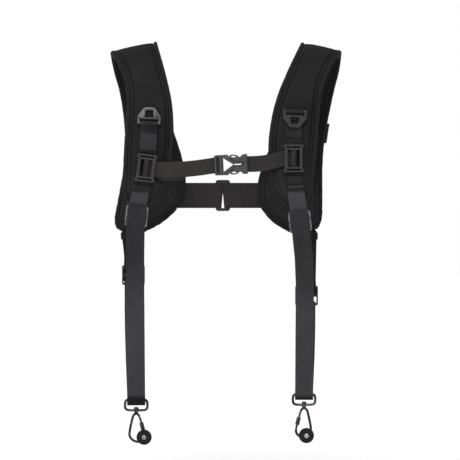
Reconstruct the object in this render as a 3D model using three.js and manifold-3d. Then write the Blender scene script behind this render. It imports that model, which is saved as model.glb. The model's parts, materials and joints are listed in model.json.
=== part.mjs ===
// Dual camera harness: two shoulder pads joined by a chest strap and a back strap, with a camera
// strap and a swivel clip hanging from each pad. Millimetres, +Z up, +X to the viewer's right,
// the front of the harness towards -Y. The origin is between the shoulders, level with the crests.

import * as THREE from 'three';
import { mergeVertices } from 'three/addons/utils/BufferGeometryUtils.js';
import Module from 'manifold-3d';

const wasm = await Module();
wasm.setup();

// Driving dimensions: general
const GAP = 0.3;
const WEB_T = 1.5;
const WIRE_R = 1.5;

// Driving dimensions: shoulder pads
const PAD_W = 60;
const PAD_SPACING = 237;
const FRONT_DROP = 202;
const BACK_DROP = 234;
const ARCH_DEPTH = 42;
const ARCH_RISE = 60;
const TUCK = 7;
const PAD_T = 7;
const PAD_EDGE_T = 5;
const RIM_W = 5;
const RIM_T = 7;
const CREST_SLOPE = 0.21;
const LEAN = 14;

// Driving dimensions: webbing
const LADDER_W = 21.5;
const CHEST_W = 20;
const CAMERA_W = 23;
const BACK_STRAP_W = 32.5;
const STITCHED_END = 6.5;

// Driving dimensions: D-rings
const D_W = 29.5;
const D_H = 20;
const D_T = 3;
const D_BAR_R = 1.6;
const D_ARM = 3;
const D_SLOT = 3.4;
const D_CROSS = 2.2;
const D_HOLE_H = 8.8;
const D_HOLE_W = 12;
const D_HOLE_TOP_W = 8.4;
const D_TOP_W = 11.6;
const D_SIDE_H = 8.6;
const D_CORNER = 1.6;
const D_FLIP_LEAN = 8;

// Driving dimensions: chest sliders
const SLIDER_W = 26.6;
const SLIDER_H = 34.4;
const SLIDER_T = 3;
const SLIDER_POST = 4;
const SLIDER_WAIST = 2;
const SLIDER_BAR = 2;
const SLIDER_SLOT = 2.2;
const SLIDER_CENTRE = 3;
const SLIDER_WALL = 1.2;
const KEEPER_T = 1.2;
const KEEPER_H = 3;

// Driving dimensions: label and tag
const LABEL_W = 21;
const LABEL_H = 21.5;
const LABEL_T = 0.8;
const TAG_H = 25;
const TAG_OUT = 4;
const TAG_T = 1.2;

// Driving dimensions: tri-glides
const GLIDE_W = 27.5;
const GLIDE_H = 25;
const GLIDE_T = 2;
const GLIDE_RAIL = 1.8;
const GLIDE_BAR = 2.4;

// Driving dimensions: rear tabs and sliders
const REAR_SLIDER_W = 29;
const REAR_SLIDER_H = 25;
const REAR_SLIDER_T = 3;
const REAR_SLIDER_BAR = 3.2;
const TAB_SEWN = 22;
const TAB_W = 24;

// Driving dimensions: chest buckle
const BUCKLE_L = 44;
const BUCKLE_W = 25;
const BUCKLE_T = 7;
const BUCKLE_RISE = 2.8;
const BUCKLE_BAR = 2.6;
const BUCKLE_BAR_T = 3;
const BUCKLE_SLOT = 2.8;
const CHEST_SAG = 2;
const SOCKET_SHARE = 0.43;
const TONGUE_T = 3.2;
const TONGUE_W = 15;
const TONGUE_L = 6;

// Driving dimensions: back slider
const BACK_SLIDER_W = 19;
const BACK_SLIDER_H = 40;
const BACK_SLIDER_T = 2.4;
const BACK_BAR = 2;
const BACK_SLIVER = 1.3;

// Driving dimensions: swivel ring, carabiner, gate, sleeve and camera screw
const RING_W = 31;
const RING_H = 13;
const RING_CORNER = 4;
const FOLD_DROP = 4.2;
const BOSS_R = 3.2;
const BOSS_H = 4;
const PIN_R = 1.5;
const DOME_R = 3;
const DOME_H = 2;
const NECK_H = 2.4;
const NECK_R = 2.4;
const NECK_SUNK = 0.6;
const CLIP_H = 35.5;
const CLIP_W = 22;
const GATE_OPEN_GAP = 0.35;
const SLEEVE_R = 2.6;
const SLEEVE_L = 10;
const EYE_R = 3.1;
const EYE_WIRE_R = 1;
const PLATE_R = 6;
const PLATE_T = 2;
const WASHER_R = 8.7;
const WASHER_T = 2.6;
const SCREW_R = 3.1;
const SCREW_L = 4;

// Facets
const ROUND_SIDES = 16;
const WIRE_SIDES = 6;
const PAD_COLUMNS = 4;
const FRONT_ROWS = 18;
const BACK_ROWS = 20;

// The pad's outline, front half: how far down it is as a share of FRONT_DROP, then the centre's
// offset outwards and the width as shares of PAD_W
const FRONT_OUTLINE = [
  { down: 0.0, centre: 0.0, width: 0.96 },
  { down: 0.07, centre: -0.13, width: 0.9 },
  { down: 0.145, centre: -0.245, width: 0.88 },
  { down: 0.227, centre: -0.345, width: 0.88 },
  { down: 0.32, centre: -0.423, width: 0.93 },
  { down: 0.425, centre: -0.457, width: 0.99 },
  { down: 0.524, centre: -0.475, width: 1.02 },
  { down: 0.641, centre: -0.477, width: 1.02 },
  { down: 0.765, centre: -0.461, width: 0.964 },
  { down: 0.845, centre: -0.434, width: 0.9 },
  { down: 0.9, centre: -0.41, width: 0.8 },
  { down: 0.95, centre: -0.39, width: 0.63 },
  { down: 0.98, centre: -0.375, width: 0.42 },
  { down: 1.0, centre: -0.37, width: 0.18 },
];

// The same for the back half and its lobe, down as a share of BACK_DROP
const BACK_OUTLINE = [
  { down: 0.0, centre: 0.0, width: 0.96 },
  { down: 0.053, centre: 0.0, width: 0.93 },
  { down: 0.128, centre: -0.05, width: 0.92 },
  { down: 0.214, centre: -0.143, width: 0.93 },
  { down: 0.294, centre: -0.218, width: 0.96 },
  { down: 0.385, centre: -0.297, width: 1.0 },
  { down: 0.47, centre: -0.378, width: 1.08 },
  { down: 0.556, centre: -0.455, width: 1.2 },
  { down: 0.642, centre: -0.504, width: 1.31 },
  { down: 0.717, centre: -0.526, width: 1.4 },
  { down: 0.791, centre: -0.497, width: 1.4 },
  { down: 0.856, centre: -0.451, width: 1.35 },
  { down: 0.909, centre: -0.348, width: 1.19 },
  { down: 0.952, centre: -0.265, width: 0.97 },
  { down: 0.979, centre: -0.203, width: 0.7 },
  { down: 1.0, centre: -0.215, width: 0.33 },
];

// The ladder webbing's centre line on each pad, with its tilt in degrees, top leaning to +X:
// down as a share of FRONT_DROP, out as a share of PAD_W
const LEFT_LADDER = [
  { down: 0.48, out: -0.347, tilt: 2 },
  { down: 0.673, out: -0.318, tilt: 6 },
  { down: 0.822, out: -0.253, tilt: 8 },
  { down: 0.9, out: -0.175, tilt: 9 },
  { down: 0.995, out: -0.11, tilt: 5.6 },
];
const RIGHT_LADDER = [
  { down: 0.406, out: -0.568, tilt: 3 },
  { down: 0.545, out: -0.598, tilt: 1.5 },
  { down: 0.691, out: -0.602, tilt: 0 },
  { down: 0.777, out: -0.59, tilt: -2.5 },
  { down: 0.9, out: -0.552, tilt: -5 },
  { down: 1.03, out: -0.49, tilt: -6 },
];

// What differs between the two sides. sign is the side of X, slider is the chest slider's place as
// a share of FRONT_DROP, the strap entries are its place outwards as shares of PAD_W, and the drop
// entries are lengths of their own
const LEFT = {
  name: 'left', sign: -1, ladder: LEFT_LADDER, crest: 1.04, lean: LEAN, ringUp: true, slider: 0.756,
  screwAt: 0.955,
  strapLow: -0.053, rearTop: 0.09, rearMid: 0.02, strapDrop: 444, rearSliderDrop: 276,
};
const RIGHT = {
  name: 'right', sign: 1, ladder: RIGHT_LADDER, crest: 0.91, lean: -LEAN, ringUp: false, slider: 0.696,
  screwAt: 0.7,
  strapLow: -0.362, rearTop: -0.27, rearMid: -0.3, strapDrop: 437, rearSliderDrop: 302,
};

// Places of the pieces that cross from side to side
const BUCKLE_X = 6;
const BUCKLE_DROP = 148.3;
const BACK_STRAP_DROP = 185.3;
const BACK_STRAP_SEWN = 26;
const BACK_JOIN_X = -6;
const TAG_DROP = 106;
const LABEL_DROP = 120;

// Materials
const finishes = {
  neoprene: new THREE.MeshStandardMaterial({ color: 0x1d1d20, roughness: 0.9, metalness: 0 }),
  binding: new THREE.MeshStandardMaterial({ color: 0x17171a, roughness: 0.8, metalness: 0 }),
  webbing: new THREE.MeshStandardMaterial({ color: 0x2a2a2d, roughness: 0.75, metalness: 0 }),
  plastic: new THREE.MeshStandardMaterial({ color: 0x323236, roughness: 0.45, metalness: 0 }),
  steel: new THREE.MeshStandardMaterial({ color: 0x8c8782, roughness: 0.25, metalness: 1 }),
  rubber: new THREE.MeshStandardMaterial({ color: 0x2c2d30, roughness: 0.85, metalness: 0 }),
};

// Small helpers
const radians = THREE.MathUtils.degToRad;
const lerp = THREE.MathUtils.lerp;
const vec = (x, y, z) => new THREE.Vector3(x, y, z);

// A smooth curve through one column of a table whose rows are sorted by their key
function column(table, key, name, at) {
  const last = table.length - 1;
  let i = 0;
  while (i < last - 1 && at > table[i + 1][key]) i += 1;
  const slope = (j) => {
    const a = table[Math.max(j - 1, 0)];
    const b = table[Math.min(j + 1, last)];
    return (b[name] - a[name]) / (b[key] - a[key]);
  };
  const [low, high] = [table[i], table[i + 1]];
  const span = high[key] - low[key];
  const t = THREE.MathUtils.clamp((at - low[key]) / span, 0, 1);
  const [t2, t3] = [t * t, t * t * t];
  return (2 * t3 - 3 * t2 + 1) * low[name] + (t3 - 2 * t2 + t) * span * slope(i)
    + (3 * t2 - 2 * t3) * high[name] + (t3 - t2) * span * slope(i + 1);
}

function meshVolume(points, triangles) {
  let sum = 0;
  for (let i = 0; i < triangles.length; i += 3) {
    const [a, b, c] = [points[triangles[i]], points[triangles[i + 1]], points[triangles[i + 2]]];
    sum += a.dot(b.clone().cross(c));
  }
  return sum / 6;
}

// A closed skin over rings of points, joined end to end or capped, with its faces outwards
function loft(rings, joined = false) {
  const sides = rings[0].length;
  const points = rings.flat();
  const triangles = [];
  const spans = joined ? rings.length : rings.length - 1;
  for (let r = 0; r < spans; r += 1) {
    const next = (r + 1) % rings.length;
    for (let s = 0; s < sides; s += 1) {
      const t = (s + 1) % sides;
      const [a, b, c, d] = [r * sides + s, r * sides + t, next * sides + t, next * sides + s];
      triangles.push(a, b, c, a, c, d);
    }
  }
  if (!joined) {
    const end = (rings.length - 1) * sides;
    for (let s = 1; s < sides - 1; s += 1) {
      triangles.push(0, s + 1, s, end, end + s, end + s + 1);
    }
  }
  return skin(points, triangles);
}

function skin(points, triangles) {
  const faces = [...triangles];
  if (meshVolume(points, faces) < 0) faces.reverse();
  const geometry = new THREE.BufferGeometry();
  const places = points.flatMap((p) => p.toArray());
  geometry.setAttribute('position', new THREE.Float32BufferAttribute(places, 3));
  geometry.setIndex(faces);
  return geometry;
}

// Joins and cuts
function solid(geometry) {
  const bare = geometry.clone();
  bare.deleteAttribute('normal');
  bare.deleteAttribute('uv');
  const merged = mergeVertices(bare, 1e-4);
  const mesh = new wasm.Mesh({
    numProp: 3,
    vertProperties: new Float32Array(merged.attributes.position.array),
    triVerts: new Uint32Array(merged.index.array),
  });
  return new wasm.Manifold(mesh);
}

function geometryOf(manifold) {
  const mesh = manifold.getMesh();
  const geometry = new THREE.BufferGeometry();
  geometry.setAttribute('position', new THREE.BufferAttribute(new Float32Array(mesh.vertProperties), 3));
  geometry.setIndex(new THREE.BufferAttribute(new Uint32Array(mesh.triVerts), 1));
  return geometry;
}

function join(...geometries) {
  return geometryOf(geometries.map(solid).reduce((a, b) => a.add(b)));
}

function cut(geometry, ...tools) {
  return geometryOf(tools.map(solid).reduce((a, b) => a.subtract(b), solid(geometry)));
}

// A box from its centre and size
function block(x, y, z, w, d, h) {
  return new THREE.BoxGeometry(w, d, h).translate(x, y, z);
}

// A rod along an axis: x, y or z
function rod(axis, radius, length, sides = ROUND_SIDES) {
  const geometry = new THREE.CylinderGeometry(radius, radius, length, sides);
  if (axis === 'x') geometry.rotateZ(Math.PI / 2);
  if (axis === 'z') geometry.rotateX(Math.PI / 2);
  return geometry;
}

// An outline in X and Z, with round corners
function roundedOutline(Type, x0, z0, x1, z1, r) {
  const path = new Type();
  path.moveTo(x0 + r, z0);
  path.lineTo(x1 - r, z0);
  path.absarc(x1 - r, z0 + r, r, -Math.PI / 2, 0);
  path.lineTo(x1, z1 - r);
  path.absarc(x1 - r, z1 - r, r, 0, Math.PI / 2);
  path.lineTo(x0 + r, z1);
  path.absarc(x0 + r, z1 - r, r, Math.PI / 2, Math.PI);
  path.lineTo(x0, z0 + r);
  path.absarc(x0 + r, z0 + r, r, Math.PI, 1.5 * Math.PI);
  return path;
}

// A plate of an outline in X and Z, its thickness centred on y = 0
function plate(shape, thickness, curveSegments = 3) {
  const geometry = new THREE.ExtrudeGeometry(shape, { depth: thickness, bevelEnabled: false, curveSegments });
  return geometry.rotateX(Math.PI / 2).translate(0, thickness / 2, 0);
}

// A wire whose centre line is a list of points in X and Z, open or closed
function wire(points, radius, closed, sides = WIRE_SIDES) {
  const count = points.length;
  const rings = points.map((p, i) => {
    const before = points[closed ? (i + count - 1) % count : Math.max(i - 1, 0)];
    const after = points[closed ? (i + 1) % count : Math.min(i + 1, count - 1)];
    const along = vec(after[0] - before[0], 0, after[1] - before[1]).normalize();
    const side = vec(along.z, 0, -along.x);
    return Array.from({ length: sides }, (_, k) => {
      const a = (2 * Math.PI * (k + 0.5)) / sides;
      const centre = vec(p[0], radius * Math.sin(a), p[1]);
      return centre.addScaledVector(side, radius * Math.cos(a));
    });
  });
  return loft(rings, closed);
}

// A ribbon of webbing along points that each carry the direction across it
function ribbon(stations, width, thickness) {
  const rings = stations.map((s, i) => {
    const before = stations[Math.max(i - 1, 0)].p;
    const after = stations[Math.min(i + 1, stations.length - 1)].p;
    const along = after.clone().sub(before).normalize();
    const out = along.clone().cross(s.across).normalize();
    const half = s.across.clone().multiplyScalar(width / 2);
    const thick = out.multiplyScalar(thickness / 2);
    return [
      s.p.clone().add(half).add(thick), s.p.clone().add(half).sub(thick),
      s.p.clone().sub(half).sub(thick), s.p.clone().sub(half).add(thick),
    ];
  });
  return loft(rings);
}

// Points of an arc as [first, second] pairs
function arc(c1, c2, radius, from, to, steps) {
  return Array.from({ length: steps + 1 }, (_, i) => {
    const a = radians(lerp(from, to, i / steps));
    return [c1 + radius * Math.cos(a), c2 + radius * Math.sin(a)];
  });
}

// A plane that stands upright and is tilted about Y: forward is towards -Y, up is along the tilt
function tiltedPlane(origin, tilt) {
  const up = vec(Math.sin(radians(tilt)), 0, Math.cos(radians(tilt)));
  const across = vec(Math.cos(radians(tilt)), 0, -Math.sin(radians(tilt)));
  return {
    across,
    station: (forward, rise) => ({
      p: origin.clone().addScaledVector(up, rise).add(vec(0, -forward, 0)),
      across: across.clone(),
    }),
  };
}

// The arch: a quarter of an ellipse on each side of the crest, then straight down with a tuck
function archAt(share, drop) {
  const down = share * drop;
  let depth = ARCH_DEPTH;
  if (down < ARCH_RISE) depth *= Math.sqrt(1 - (1 - down / ARCH_RISE) ** 2);
  const tuckFrom = 0.8;
  if (share > tuckFrom) depth -= TUCK * ((share - tuckFrom) / (1 - tuckFrom)) ** 2;
  return { down, depth };
}

const padCentreX = (side) => side.sign * (PAD_SPACING / 2);
const outwards = (side, offset) => padCentreX(side) + side.sign * offset;
const FACE = ARCH_DEPTH + PAD_T / 2;

// Rows of the pad from the front end over the crest to the lobe, each with its place on the arch
function padRows(side) {
  const spaced = (i, n) => (1 - Math.cos((Math.PI * i) / n)) / 2;
  const row = (share, front) => {
    const table = front ? FRONT_OUTLINE : BACK_OUTLINE;
    const { down, depth } = archAt(share, front ? FRONT_DROP : BACK_DROP);
    const leaning = side.lean * (front ? share : share * share);
    const fade = Math.max(0, 1 - down / ARCH_RISE);
    const widen = lerp(1, side.crest, fade);
    return {
      y: front ? -depth : depth,
      z: -down,
      centre: column(table, 'down', 'centre', share) * PAD_W + leaning,
      half: (column(table, 'down', 'width', share) * PAD_W * widen) / 2,
      slope: CREST_SLOPE * fade,
    };
  };
  const rows = [];
  for (let i = FRONT_ROWS; i > 0; i -= 1) rows.push(row(spaced(i, FRONT_ROWS), true));
  for (let i = 0; i <= BACK_ROWS; i += 1) rows.push(row(spaced(i, BACK_ROWS), false));
  rows[0].s = 0;
  for (let i = 1; i < rows.length; i += 1) {
    rows[i].s = rows[i - 1].s + Math.hypot(rows[i].y - rows[i - 1].y, rows[i].z - rows[i - 1].z);
  }
  return rows;
}

// A point of the pad from its place outwards, its length s along the arch and its height off the middle
function padPoint(side, rows, out, s, lift) {
  const last = rows.length - 1;
  let i = 0;
  while (i < last - 1 && s > rows[i + 1].s) i += 1;
  const [a, b] = [rows[i], rows[i + 1]];
  const t = THREE.MathUtils.clamp((s - a.s) / (b.s - a.s), 0, 1);
  const mix = (name) => lerp(a[name], b[name], t);
  const tangent = (j) => {
    const [p, q] = [rows[Math.max(j - 1, 0)], rows[Math.min(j + 1, last)]];
    return [q.y - p.y, q.z - p.z];
  };
  const [ta, tb] = [tangent(i), tangent(i + 1)];
  const [ty, tz] = [lerp(ta[0], tb[0], t), lerp(ta[1], tb[1], t)];
  const size = Math.hypot(ty, tz);
  const z = mix('z') - mix('slope') * (out - mix('centre'));
  return vec(outwards(side, out), mix('y') - (lift * tz) / size, z + (lift * ty) / size);
}

// The outline as a closed loop of stations, each with its place and its inward direction
function padOutline(rows) {
  const inner = rows.map((r) => ({ out: r.centre - r.half, s: r.s }));
  const outer = rows.map((r) => ({ out: r.centre + r.half, s: r.s })).reverse();
  const loop = [...inner, ...outer];
  const middle = { out: rows[rows.length >> 1].centre, s: 0 };
  const area = loop.reduce((sum, p, i) => {
    const q = loop[(i + 1) % loop.length];
    return sum + (p.out - middle.out) * (q.s - middle.s) - (q.out - middle.out) * (p.s - middle.s);
  }, 0);
  const turn = Math.sign(area);
  return loop.map((p, i) => {
    const before = loop[(i + loop.length - 1) % loop.length];
    const after = loop[(i + 1) % loop.length];
    const [dx, ds] = [after.out - before.out, after.s - before.s];
    const size = Math.hypot(dx, ds);
    return { ...p, inOut: (-turn * ds) / size, inS: (turn * dx) / size };
  });
}

const inset = (p, distance) => ({ out: p.out + p.inOut * distance, s: p.s + p.inS * distance });

function shoulderPad(side, rows) {
  const loop = padOutline(rows);
  const count = rows.length;
  const face = (lift) => rows.flatMap((_, r) => {
    const a = inset(loop[r], RIM_W + GAP);
    const b = inset(loop[2 * count - 1 - r], RIM_W + GAP);
    return Array.from({ length: PAD_COLUMNS + 1 }, (_unused, c) => {
      const t = c / PAD_COLUMNS;
      const crown = Math.sin(Math.PI * t) ** 0.5;
      const half = lerp(PAD_EDGE_T, PAD_T, crown) / 2;
      return padPoint(side, rows, lerp(a.out, b.out, t), lerp(a.s, b.s, t), lift * half);
    });
  });
  const wide = PAD_COLUMNS + 1;
  const points = [...face(1), ...face(-1)];
  const back = count * wide;
  const triangles = [];
  const quad = (a, b, c, d) => triangles.push(a, b, c, a, c, d);
  for (let r = 0; r < count - 1; r += 1) {
    for (let c = 0; c < PAD_COLUMNS; c += 1) {
      const i = r * wide + c;
      quad(i, i + 1, i + wide + 1, i + wide);
      quad(back + i, back + i + wide, back + i + wide + 1, back + i + 1);
    }
    const [l, m] = [r * wide, r * wide + PAD_COLUMNS];
    quad(l, l + wide, back + l + wide, back + l);
    quad(m, back + m, back + m + wide, m + wide);
  }
  for (let c = 0; c < PAD_COLUMNS; c += 1) {
    const e = (count - 1) * wide + c;
    quad(c, back + c, back + c + 1, c + 1);
    quad(e, e + 1, back + e + 1, back + e);
  }
  return skin(points, triangles);
}

// The rolled rim, as [inward, lift] shares of its width and half thickness
const RIM_SECTION = [[0, 0], [0.25, 0.85], [0.95, 1], [1, -1], [0.25, -0.85]];

function padBinding(side, rows) {
  const rings = padOutline(rows).map((p) => RIM_SECTION.map(([inward, lift]) => {
    const q = inset(p, inward * RIM_W);
    return padPoint(side, rows, q.out, q.s, (lift * RIM_T) / 2);
  }));
  return loft(rings, true);
}

// A place on the ladder webbing's centre line
function ladderAt(side, down) {
  const table = side.ladder;
  return {
    x: outwards(side, column(table, 'down', 'out', down) * PAD_W),
    z: -down * FRONT_DROP,
    tilt: column(table, 'down', 'tilt', down),
  };
}

// Layers in front of the pad's face, each the middle of its webbing or bar
const loopRound = (barW, barT) => Math.hypot(barW, barT) / 2 + GAP + WEB_T / 2;
const SEWN = GAP + WEB_T / 2;
const RAISED = GAP + KEEPER_T + GAP + WEB_T / 2;
const D_BAR_FORWARD = 2 * (WEB_T + GAP) + GAP + D_T / 2;
const D_LOOP_R = D_BAR_R + GAP + WEB_T / 2;
const CHEST_LAYER = RAISED + WEB_T + GAP;
const CENTRE_LOOP_R = loopRound(SLIDER_CENTRE, SLIDER_T);
const SLIDER_FORWARD = CHEST_LAYER + CENTRE_LOOP_R;
const GLIDE_LOOP_R = loopRound(GLIDE_BAR, GLIDE_T);
const GLIDE_BEHIND = GLIDE_LOOP_R + WEB_T + GAP;
const GLIDE_FORWARD = SEWN + GLIDE_BEHIND;

function ladderWebbing(side) {
  const table = side.ladder;
  const top = ladderAt(side, table[0].down);
  const end = ladderAt(side, table[table.length - 1].down);
  const atTop = tiltedPlane(vec(top.x, -FACE, top.z), top.tilt);
  const stations = [];
  const front = SEWN + WEB_T + GAP / 2;
  stations.push(atTop.station(front, -STITCHED_END - 2 * D_LOOP_R), atTop.station(front, -2.6 * D_LOOP_R));
  stations.push(atTop.station(front + GAP, -1.7 * D_LOOP_R));
  arc(D_BAR_FORWARD, 0, D_LOOP_R, -120, 200, 10).forEach(([f, r]) => stations.push(atTop.station(f, r)));
  stations.push(atTop.station(SEWN, -1.3 * D_LOOP_R));
  const share = (length) => length / FRONT_DROP;
  const raisedFrom = share(LABEL_DROP - LABEL_H / 2);
  const raisedTo = side.slider + share(SLIDER_H / 2 + WEB_T);
  const ramp = share(3 * WEB_T);
  const from = table[0].down + share(2.6 * D_LOOP_R);
  const last = table[table.length - 1].down - share(2 * GLIDE_LOOP_R);
  const marks = [from, raisedFrom - ramp, raisedFrom, raisedTo, raisedTo + ramp, last];
  marks.slice(1).forEach((mark, i) => {
    const steps = Math.max(1, Math.round((mark - marks[i]) / share(LADDER_W / 2)));
    for (let k = i === 0 ? 0 : 1; k <= steps; k += 1) {
      const down = lerp(marks[i], mark, k / steps);
      const at = ladderAt(side, down);
      const raised = down > raisedFrom - ramp / 2 && down < raisedTo + ramp / 2;
      stations.push(tiltedPlane(vec(at.x, -FACE, at.z), at.tilt).station(raised ? RAISED : SEWN, 0));
    }
  });
  const plane = glidePlane(end);
  const low = GLIDE_BAR - GLIDE_H;
  stations.push(plane.station(-GLIDE_BEHIND, GLIDE_LOOP_R), plane.station(-GLIDE_BEHIND, low / 2));
  arc(0, low, GLIDE_LOOP_R, 180, 380, 8).forEach(([f, r]) => stations.push(plane.station(f, r)));
  stations.push(plane.station(GLIDE_LOOP_R * 0.6, low + 2 * GLIDE_LOOP_R));
  return ribbon(stations, LADDER_W, WEB_T);
}

// The tri-glide's plane: its top bar is on the origin, far enough forward to clear the webbing behind
function glidePlane(end) {
  return tiltedPlane(vec(end.x, -FACE - GLIDE_FORWARD, end.z), end.tilt);
}

function triglide() {
  const [w, h] = [GLIDE_W / 2, GLIDE_H];
  const shape = roundedOutline(THREE.Shape, -w, GLIDE_BAR / 2 - h, w, GLIDE_BAR / 2, 1.5);
  const mid = -(h - GLIDE_BAR) / 2;
  const reach = w - GLIDE_RAIL;
  const slot = (low, high) => roundedOutline(THREE.Path, -reach, low, reach, high, 0.6);
  shape.holes.push(slot(mid + GLIDE_BAR / 2, -GLIDE_BAR / 2));
  shape.holes.push(slot(2 * mid + GLIDE_BAR / 2, mid - GLIDE_BAR / 2));
  return plate(shape, GLIDE_T, 2);
}

function dRing() {
  const [w, h, c] = [D_W / 2, D_H, D_CORNER];
  const top = D_TOP_W / 2;
  const shape = new THREE.Shape();
  shape.moveTo(-w, -D_BAR_R);
  shape.lineTo(w, -D_BAR_R);
  shape.lineTo(w, D_SIDE_H - c);
  shape.quadraticCurveTo(w, D_SIDE_H, w - c * 0.7, D_SIDE_H + c);
  shape.lineTo(top + c, h - c);
  shape.quadraticCurveTo(top, h, top - c, h);
  shape.lineTo(c - top, h);
  shape.quadraticCurveTo(-top, h, -top - c, h - c);
  shape.lineTo(c * 0.7 - w, D_SIDE_H + c);
  shape.quadraticCurveTo(-w, D_SIDE_H, -w, D_SIDE_H - c);
  const slotTop = D_BAR_R + D_SLOT;
  shape.holes.push(roundedOutline(THREE.Path, D_ARM - w, -D_BAR_R / 2, w - D_ARM, slotTop, 0.4));
  const hole = new THREE.Path();
  const [low, high] = [slotTop + D_CROSS, slotTop + D_CROSS + D_HOLE_H];
  hole.moveTo(-D_HOLE_W / 2, low);
  hole.lineTo(D_HOLE_W / 2, low);
  hole.lineTo(D_HOLE_TOP_W / 2, high);
  hole.lineTo(-D_HOLE_TOP_W / 2, high);
  shape.holes.push(hole);
  const body = cut(plate(shape, D_T), block(0, 0, -D_BAR_R, D_W - 2 * D_ARM, 2 * D_T, 2 * D_BAR_R));
  return join(body, rod('x', D_BAR_R, D_W - D_ARM, 12));
}

function chestSlider() {
  const [w, h] = [SLIDER_W / 2, SLIDER_H / 2];
  const waist = w - SLIDER_WAIST;
  const inner = h - SLIDER_BAR - SLIDER_SLOT - SLIDER_BAR;
  const ends = h - KEEPER_H;
  const shape = new THREE.Shape();
  [[-w, -h], [w, -h], [w, -ends], [waist, SLIDER_WAIST - ends], [waist, ends - SLIDER_WAIST], [w, ends],
    [w, h], [-w, h], [-w, ends], [-waist, ends - SLIDER_WAIST], [-waist, SLIDER_WAIST - ends], [-w, -ends],
  ].forEach(([x, z], i) => (i === 0 ? shape.moveTo(x, z) : shape.lineTo(x, z)));
  const half = SLIDER_CENTRE / 2;
  const window = waist - SLIDER_POST;
  const hole = (x0, z0, x1, z1) => shape.holes.push(roundedOutline(THREE.Path, x0, z0, x1, z1, 0.4));
  hole(-window, -inner, -half, inner);
  hole(half, -inner, window, inner);
  hole(-window, inner + SLIDER_BAR, window, h - SLIDER_BAR);
  hole(-window, SLIDER_BAR - h, window, -inner - SLIDER_BAR);
  const parts = [plate(shape, SLIDER_T, 1).translate(0, -SLIDER_FORWARD, 0)];
  const depth = SLIDER_FORWARD - GAP;
  [-1, 1].forEach((end) => {
    const z = end * (h - KEEPER_H / 2);
    parts.push(block(0, -(GAP + KEEPER_T / 2), z, SLIDER_W, KEEPER_T, KEEPER_H));
    [-1, 1].forEach((edge) => {
      parts.push(block(edge * (w - SLIDER_WALL / 2), -(GAP + depth / 2), z, SLIDER_WALL, depth, KEEPER_H));
    });
  });
  return join(...parts);
}

// The chest webbing: round the slider's centre bar, behind its inner post, on to the buckle's bar
function chestWebbing(side, buckleBar, buckleTilt) {
  const inward = -side.sign;
  const at = ladderAt(side, side.slider);
  const slider = tiltedPlane(vec(at.x, -FACE, at.z), at.tilt);
  const sliderUp = slider.station(0, 1).p.sub(slider.station(0, 0).p);
  const stations = [];
  const place = (dx, forward) => stations.push({
    p: slider.station(forward, 0).p.addScaledVector(slider.across, inward * dx),
    across: sliderUp.clone(),
  });
  arc(0, SLIDER_FORWARD, CENTRE_LOOP_R, 0, 270, 9).forEach(([dx, forward]) => place(dx, forward));
  place(SLIDER_W / 2 - SLIDER_POST, CHEST_LAYER);
  place(SLIDER_W / 2 + WEB_T, CHEST_LAYER);
  const buckleUp = vec(-Math.sin(radians(buckleTilt)), 0, Math.cos(radians(buckleTilt)));
  const from = stations[stations.length - 1].p;
  const behind = buckleBar.clone().add(vec(-inward * 2 * LATCH_LOOP_R, LATCH_LOOP_R, 0));
  const steps = 6;
  for (let i = 1; i <= steps; i += 1) {
    const t = i / steps;
    const p = from.clone().lerp(behind, t);
    p.z -= CHEST_SAG * Math.sin(Math.PI * t);
    stations.push({ p, across: sliderUp.clone().lerp(buckleUp, t).normalize() });
  }
  arc(0, 0, LATCH_LOOP_R, -90, 180, 9).forEach(([dx, forward]) => {
    stations.push({ p: buckleBar.clone().add(vec(inward * dx, -forward, 0)), across: buckleUp.clone() });
  });
  return ribbon(stations, CHEST_W, WEB_T);
}

// The buckle lies along X and is turned to its rise; the latch is at -X and the socket at +X
const LATCH_LOOP_R = loopRound(BUCKLE_BAR, BUCKLE_BAR_T);
const BUCKLE_FORWARD = FACE + CHEST_LAYER + LATCH_LOOP_R;
const MOUTH_X = BUCKLE_L * (0.5 - SOCKET_SHARE);
const latchBarX = BUCKLE_BAR + BUCKLE_SLOT + BUCKLE_BAR / 2 - BUCKLE_L / 2;
const socketBarX = BUCKLE_L / 2 - BUCKLE_BAR - BUCKLE_SLOT - BUCKLE_BAR / 2;

// A strip of the buckle that holds a bar for the webbing between two slots
function barredEnd(x0, x1, height, outer, inner) {
  const shape = roundedOutline(THREE.Shape, x0, -height / 2, x1, height / 2, 1);
  const reach = CHEST_W / 2 + 2 * GAP;
  [outer, inner].forEach(([low, high]) => {
    shape.holes.push(roundedOutline(THREE.Path, low, -reach, high, reach, 0.3));
  });
  return plate(shape, BUCKLE_BAR_T, 1);
}

function buckleLatch() {
  const x0 = -BUCKLE_L / 2;
  const slots = x0 + BUCKLE_BAR;
  const second = slots + BUCKLE_SLOT + BUCKLE_BAR;
  const bodyFrom = second + BUCKLE_SLOT;
  const end = barredEnd(x0, bodyFrom + 1, BUCKLE_W, [slots, slots + BUCKLE_SLOT], [second, bodyFrom]);
  const half = BUCKLE_W / 2;
  const body = new THREE.Shape();
  const front = MOUTH_X - GAP;
  body.moveTo(bodyFrom, -half);
  body.lineTo(front - 4, -half);
  body.quadraticCurveTo(front - 2.5, -half * 0.62, front, -half * 0.62);
  body.lineTo(front, half * 0.62);
  body.quadraticCurveTo(front - 2.5, half * 0.62, front - 4, half);
  body.lineTo(bodyFrom, half);
  const window = new THREE.Path();
  window.moveTo(bodyFrom + 1.2, -half * 0.6);
  window.lineTo(front - 1.6, 0);
  window.lineTo(bodyFrom + 1.2, half * 0.6);
  body.holes.push(window);
  const tongue = block(front + TONGUE_L / 2 - 1, 0, 0, TONGUE_L + 2, TONGUE_T, TONGUE_W);
  return join(end, plate(body, BUCKLE_T - 2, 3), tongue);
}

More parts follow.
